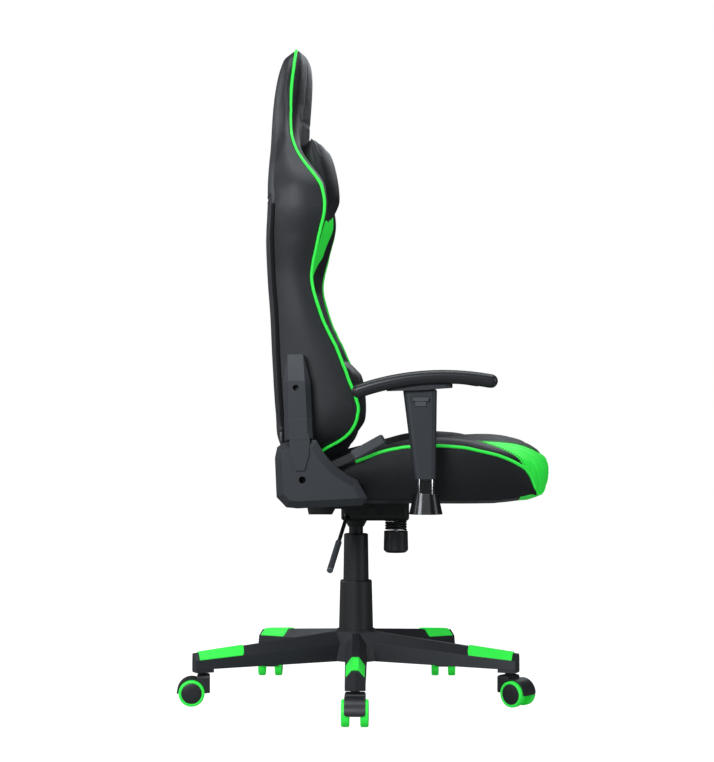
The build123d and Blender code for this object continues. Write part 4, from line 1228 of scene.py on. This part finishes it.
def makeWheels():
    pattern = makeWheelPattern()
    for number in range(1, 6):
        for sign, side in sides:
            roll = joints[f"wheel_{number}_{side}_roll"]
            out = Vector(roll["axis"]).normalized() * sign
            middle = Vector(roll["pos_m"]) + out * wheelShape["offset"] * mm
            mesh = pattern.data.copy()
            mesh.transform(out.to_track_quat("Z", "Y").to_matrix().to_4x4())
            mesh.transform(Matrix.Translation(middle))
            mesh.name = f"wheel_{number}_{side}Tyre"
            piece = addObject(mesh.name, mesh)
            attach(piece, f"wheel_{number}_{side}")
            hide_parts(f"caster_wheel_{number}_{side}")
    bpy.data.objects.remove(pattern)


# Raised dots on the rubber pads of the legs

padDots = {
    "pitch": 3.6, "radius": 1.15, "height": 0.55,
    "rings": ((1.0, -0.2), (0.72, 0.7)),    # shares of the radius and the height
    "reach": (-190, 30),    # from the caster, inwards and outwards
    "half": 22,
    "margin": 2.4,          # a dot needs even ground this far round
    "even": 2 * mm,
    "upright": 0.6,
    "dropFrom": 0.5,
}


def dotAt(spot, normal, along, verts, faces):
    # a low dome with six sides
    across = normal.cross(along).normalized()
    along = across.cross(normal)
    base = len(verts)
    for reach, rise in padDots["rings"]:
        for corner in range(6):
            angle = math.pi * corner / 3
            side = along * math.cos(angle) + across * math.sin(angle)
            verts.append(spot + (side * padDots["radius"] * reach + normal * padDots["height"] * rise) * mm)
    verts.append(spot + normal * padDots["height"] * mm)
    for corner in range(6):
        after = (corner + 1) % 6
        faces.append((base + corner, base + after, base + 6 + after, base + 6 + corner))
        faces.append((base + 6 + corner, base + 6 + after, base + 12))
    faces.append(tuple(base + corner for corner in range(5, -1, -1)))


def makePadDots():
    pads = surfaceOf(nodes["leg_pads"])
    verts, faces = [], []
    down, pitch, half = Vector((0, 0, -1)), padDots["pitch"], padDots["half"]
    ways = ((1, 0), (-1, 0), (0, 1), (0, -1))

    def topAt(foot):
        spot, normal = pads.ray_cast(foot, down)[:2]
        upright = spot is not None and normal.z > padDots["upright"]
        return (spot, normal) if upright else (None, None)

    for number in range(1, 6):
        tip = Vector(joints[f"caster_{number}_swivel"]["pos_m"])
        outward = Vector((tip.x, tip.y, 0)).normalized()
        across = Vector((-outward.y, outward.x, 0))
        for row, reach in enumerate(np.arange(*padDots["reach"], pitch / 2)):
            for side in np.arange(-half + (row % 2) * pitch / 2, half, pitch):
                foot = Vector((tip.x, tip.y, padDots["dropFrom"])) + (outward * reach + across * side) * mm
                spot, normal = topAt(foot)
                if spot is None:
                    continue
                around = [foot + (outward * a + across * b) * padDots["margin"] * mm for a, b in ways]
                rims = [topAt(place)[0] for place in around]
                if all(rim is not None and abs(rim.z - spot.z) < padDots["even"] for rim in rims):
                    dotAt(spot, normal, outward, verts, faces)
    piece = newPiece("padDots", verts, faces, "rubber")
    closeUp(piece)
    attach(piece, "base")
    print("pad dots:", len(faces) // 13)


makeStudio()
dressNodes()
makePadDots()
makeSeatCushion()
print("seat cushion sewn")
backTree, rearLines = makeBackrest()
print("backrest sewn")
for name, shape in pillows.items():
    makePillow(name, shape, backTree)
print("pillows sewn")
makeZips(backTree, rearLines)
print("zips sewn in")
makeArmShims()
print("arm seats in place")
makeWheels()
print("wheels turned")
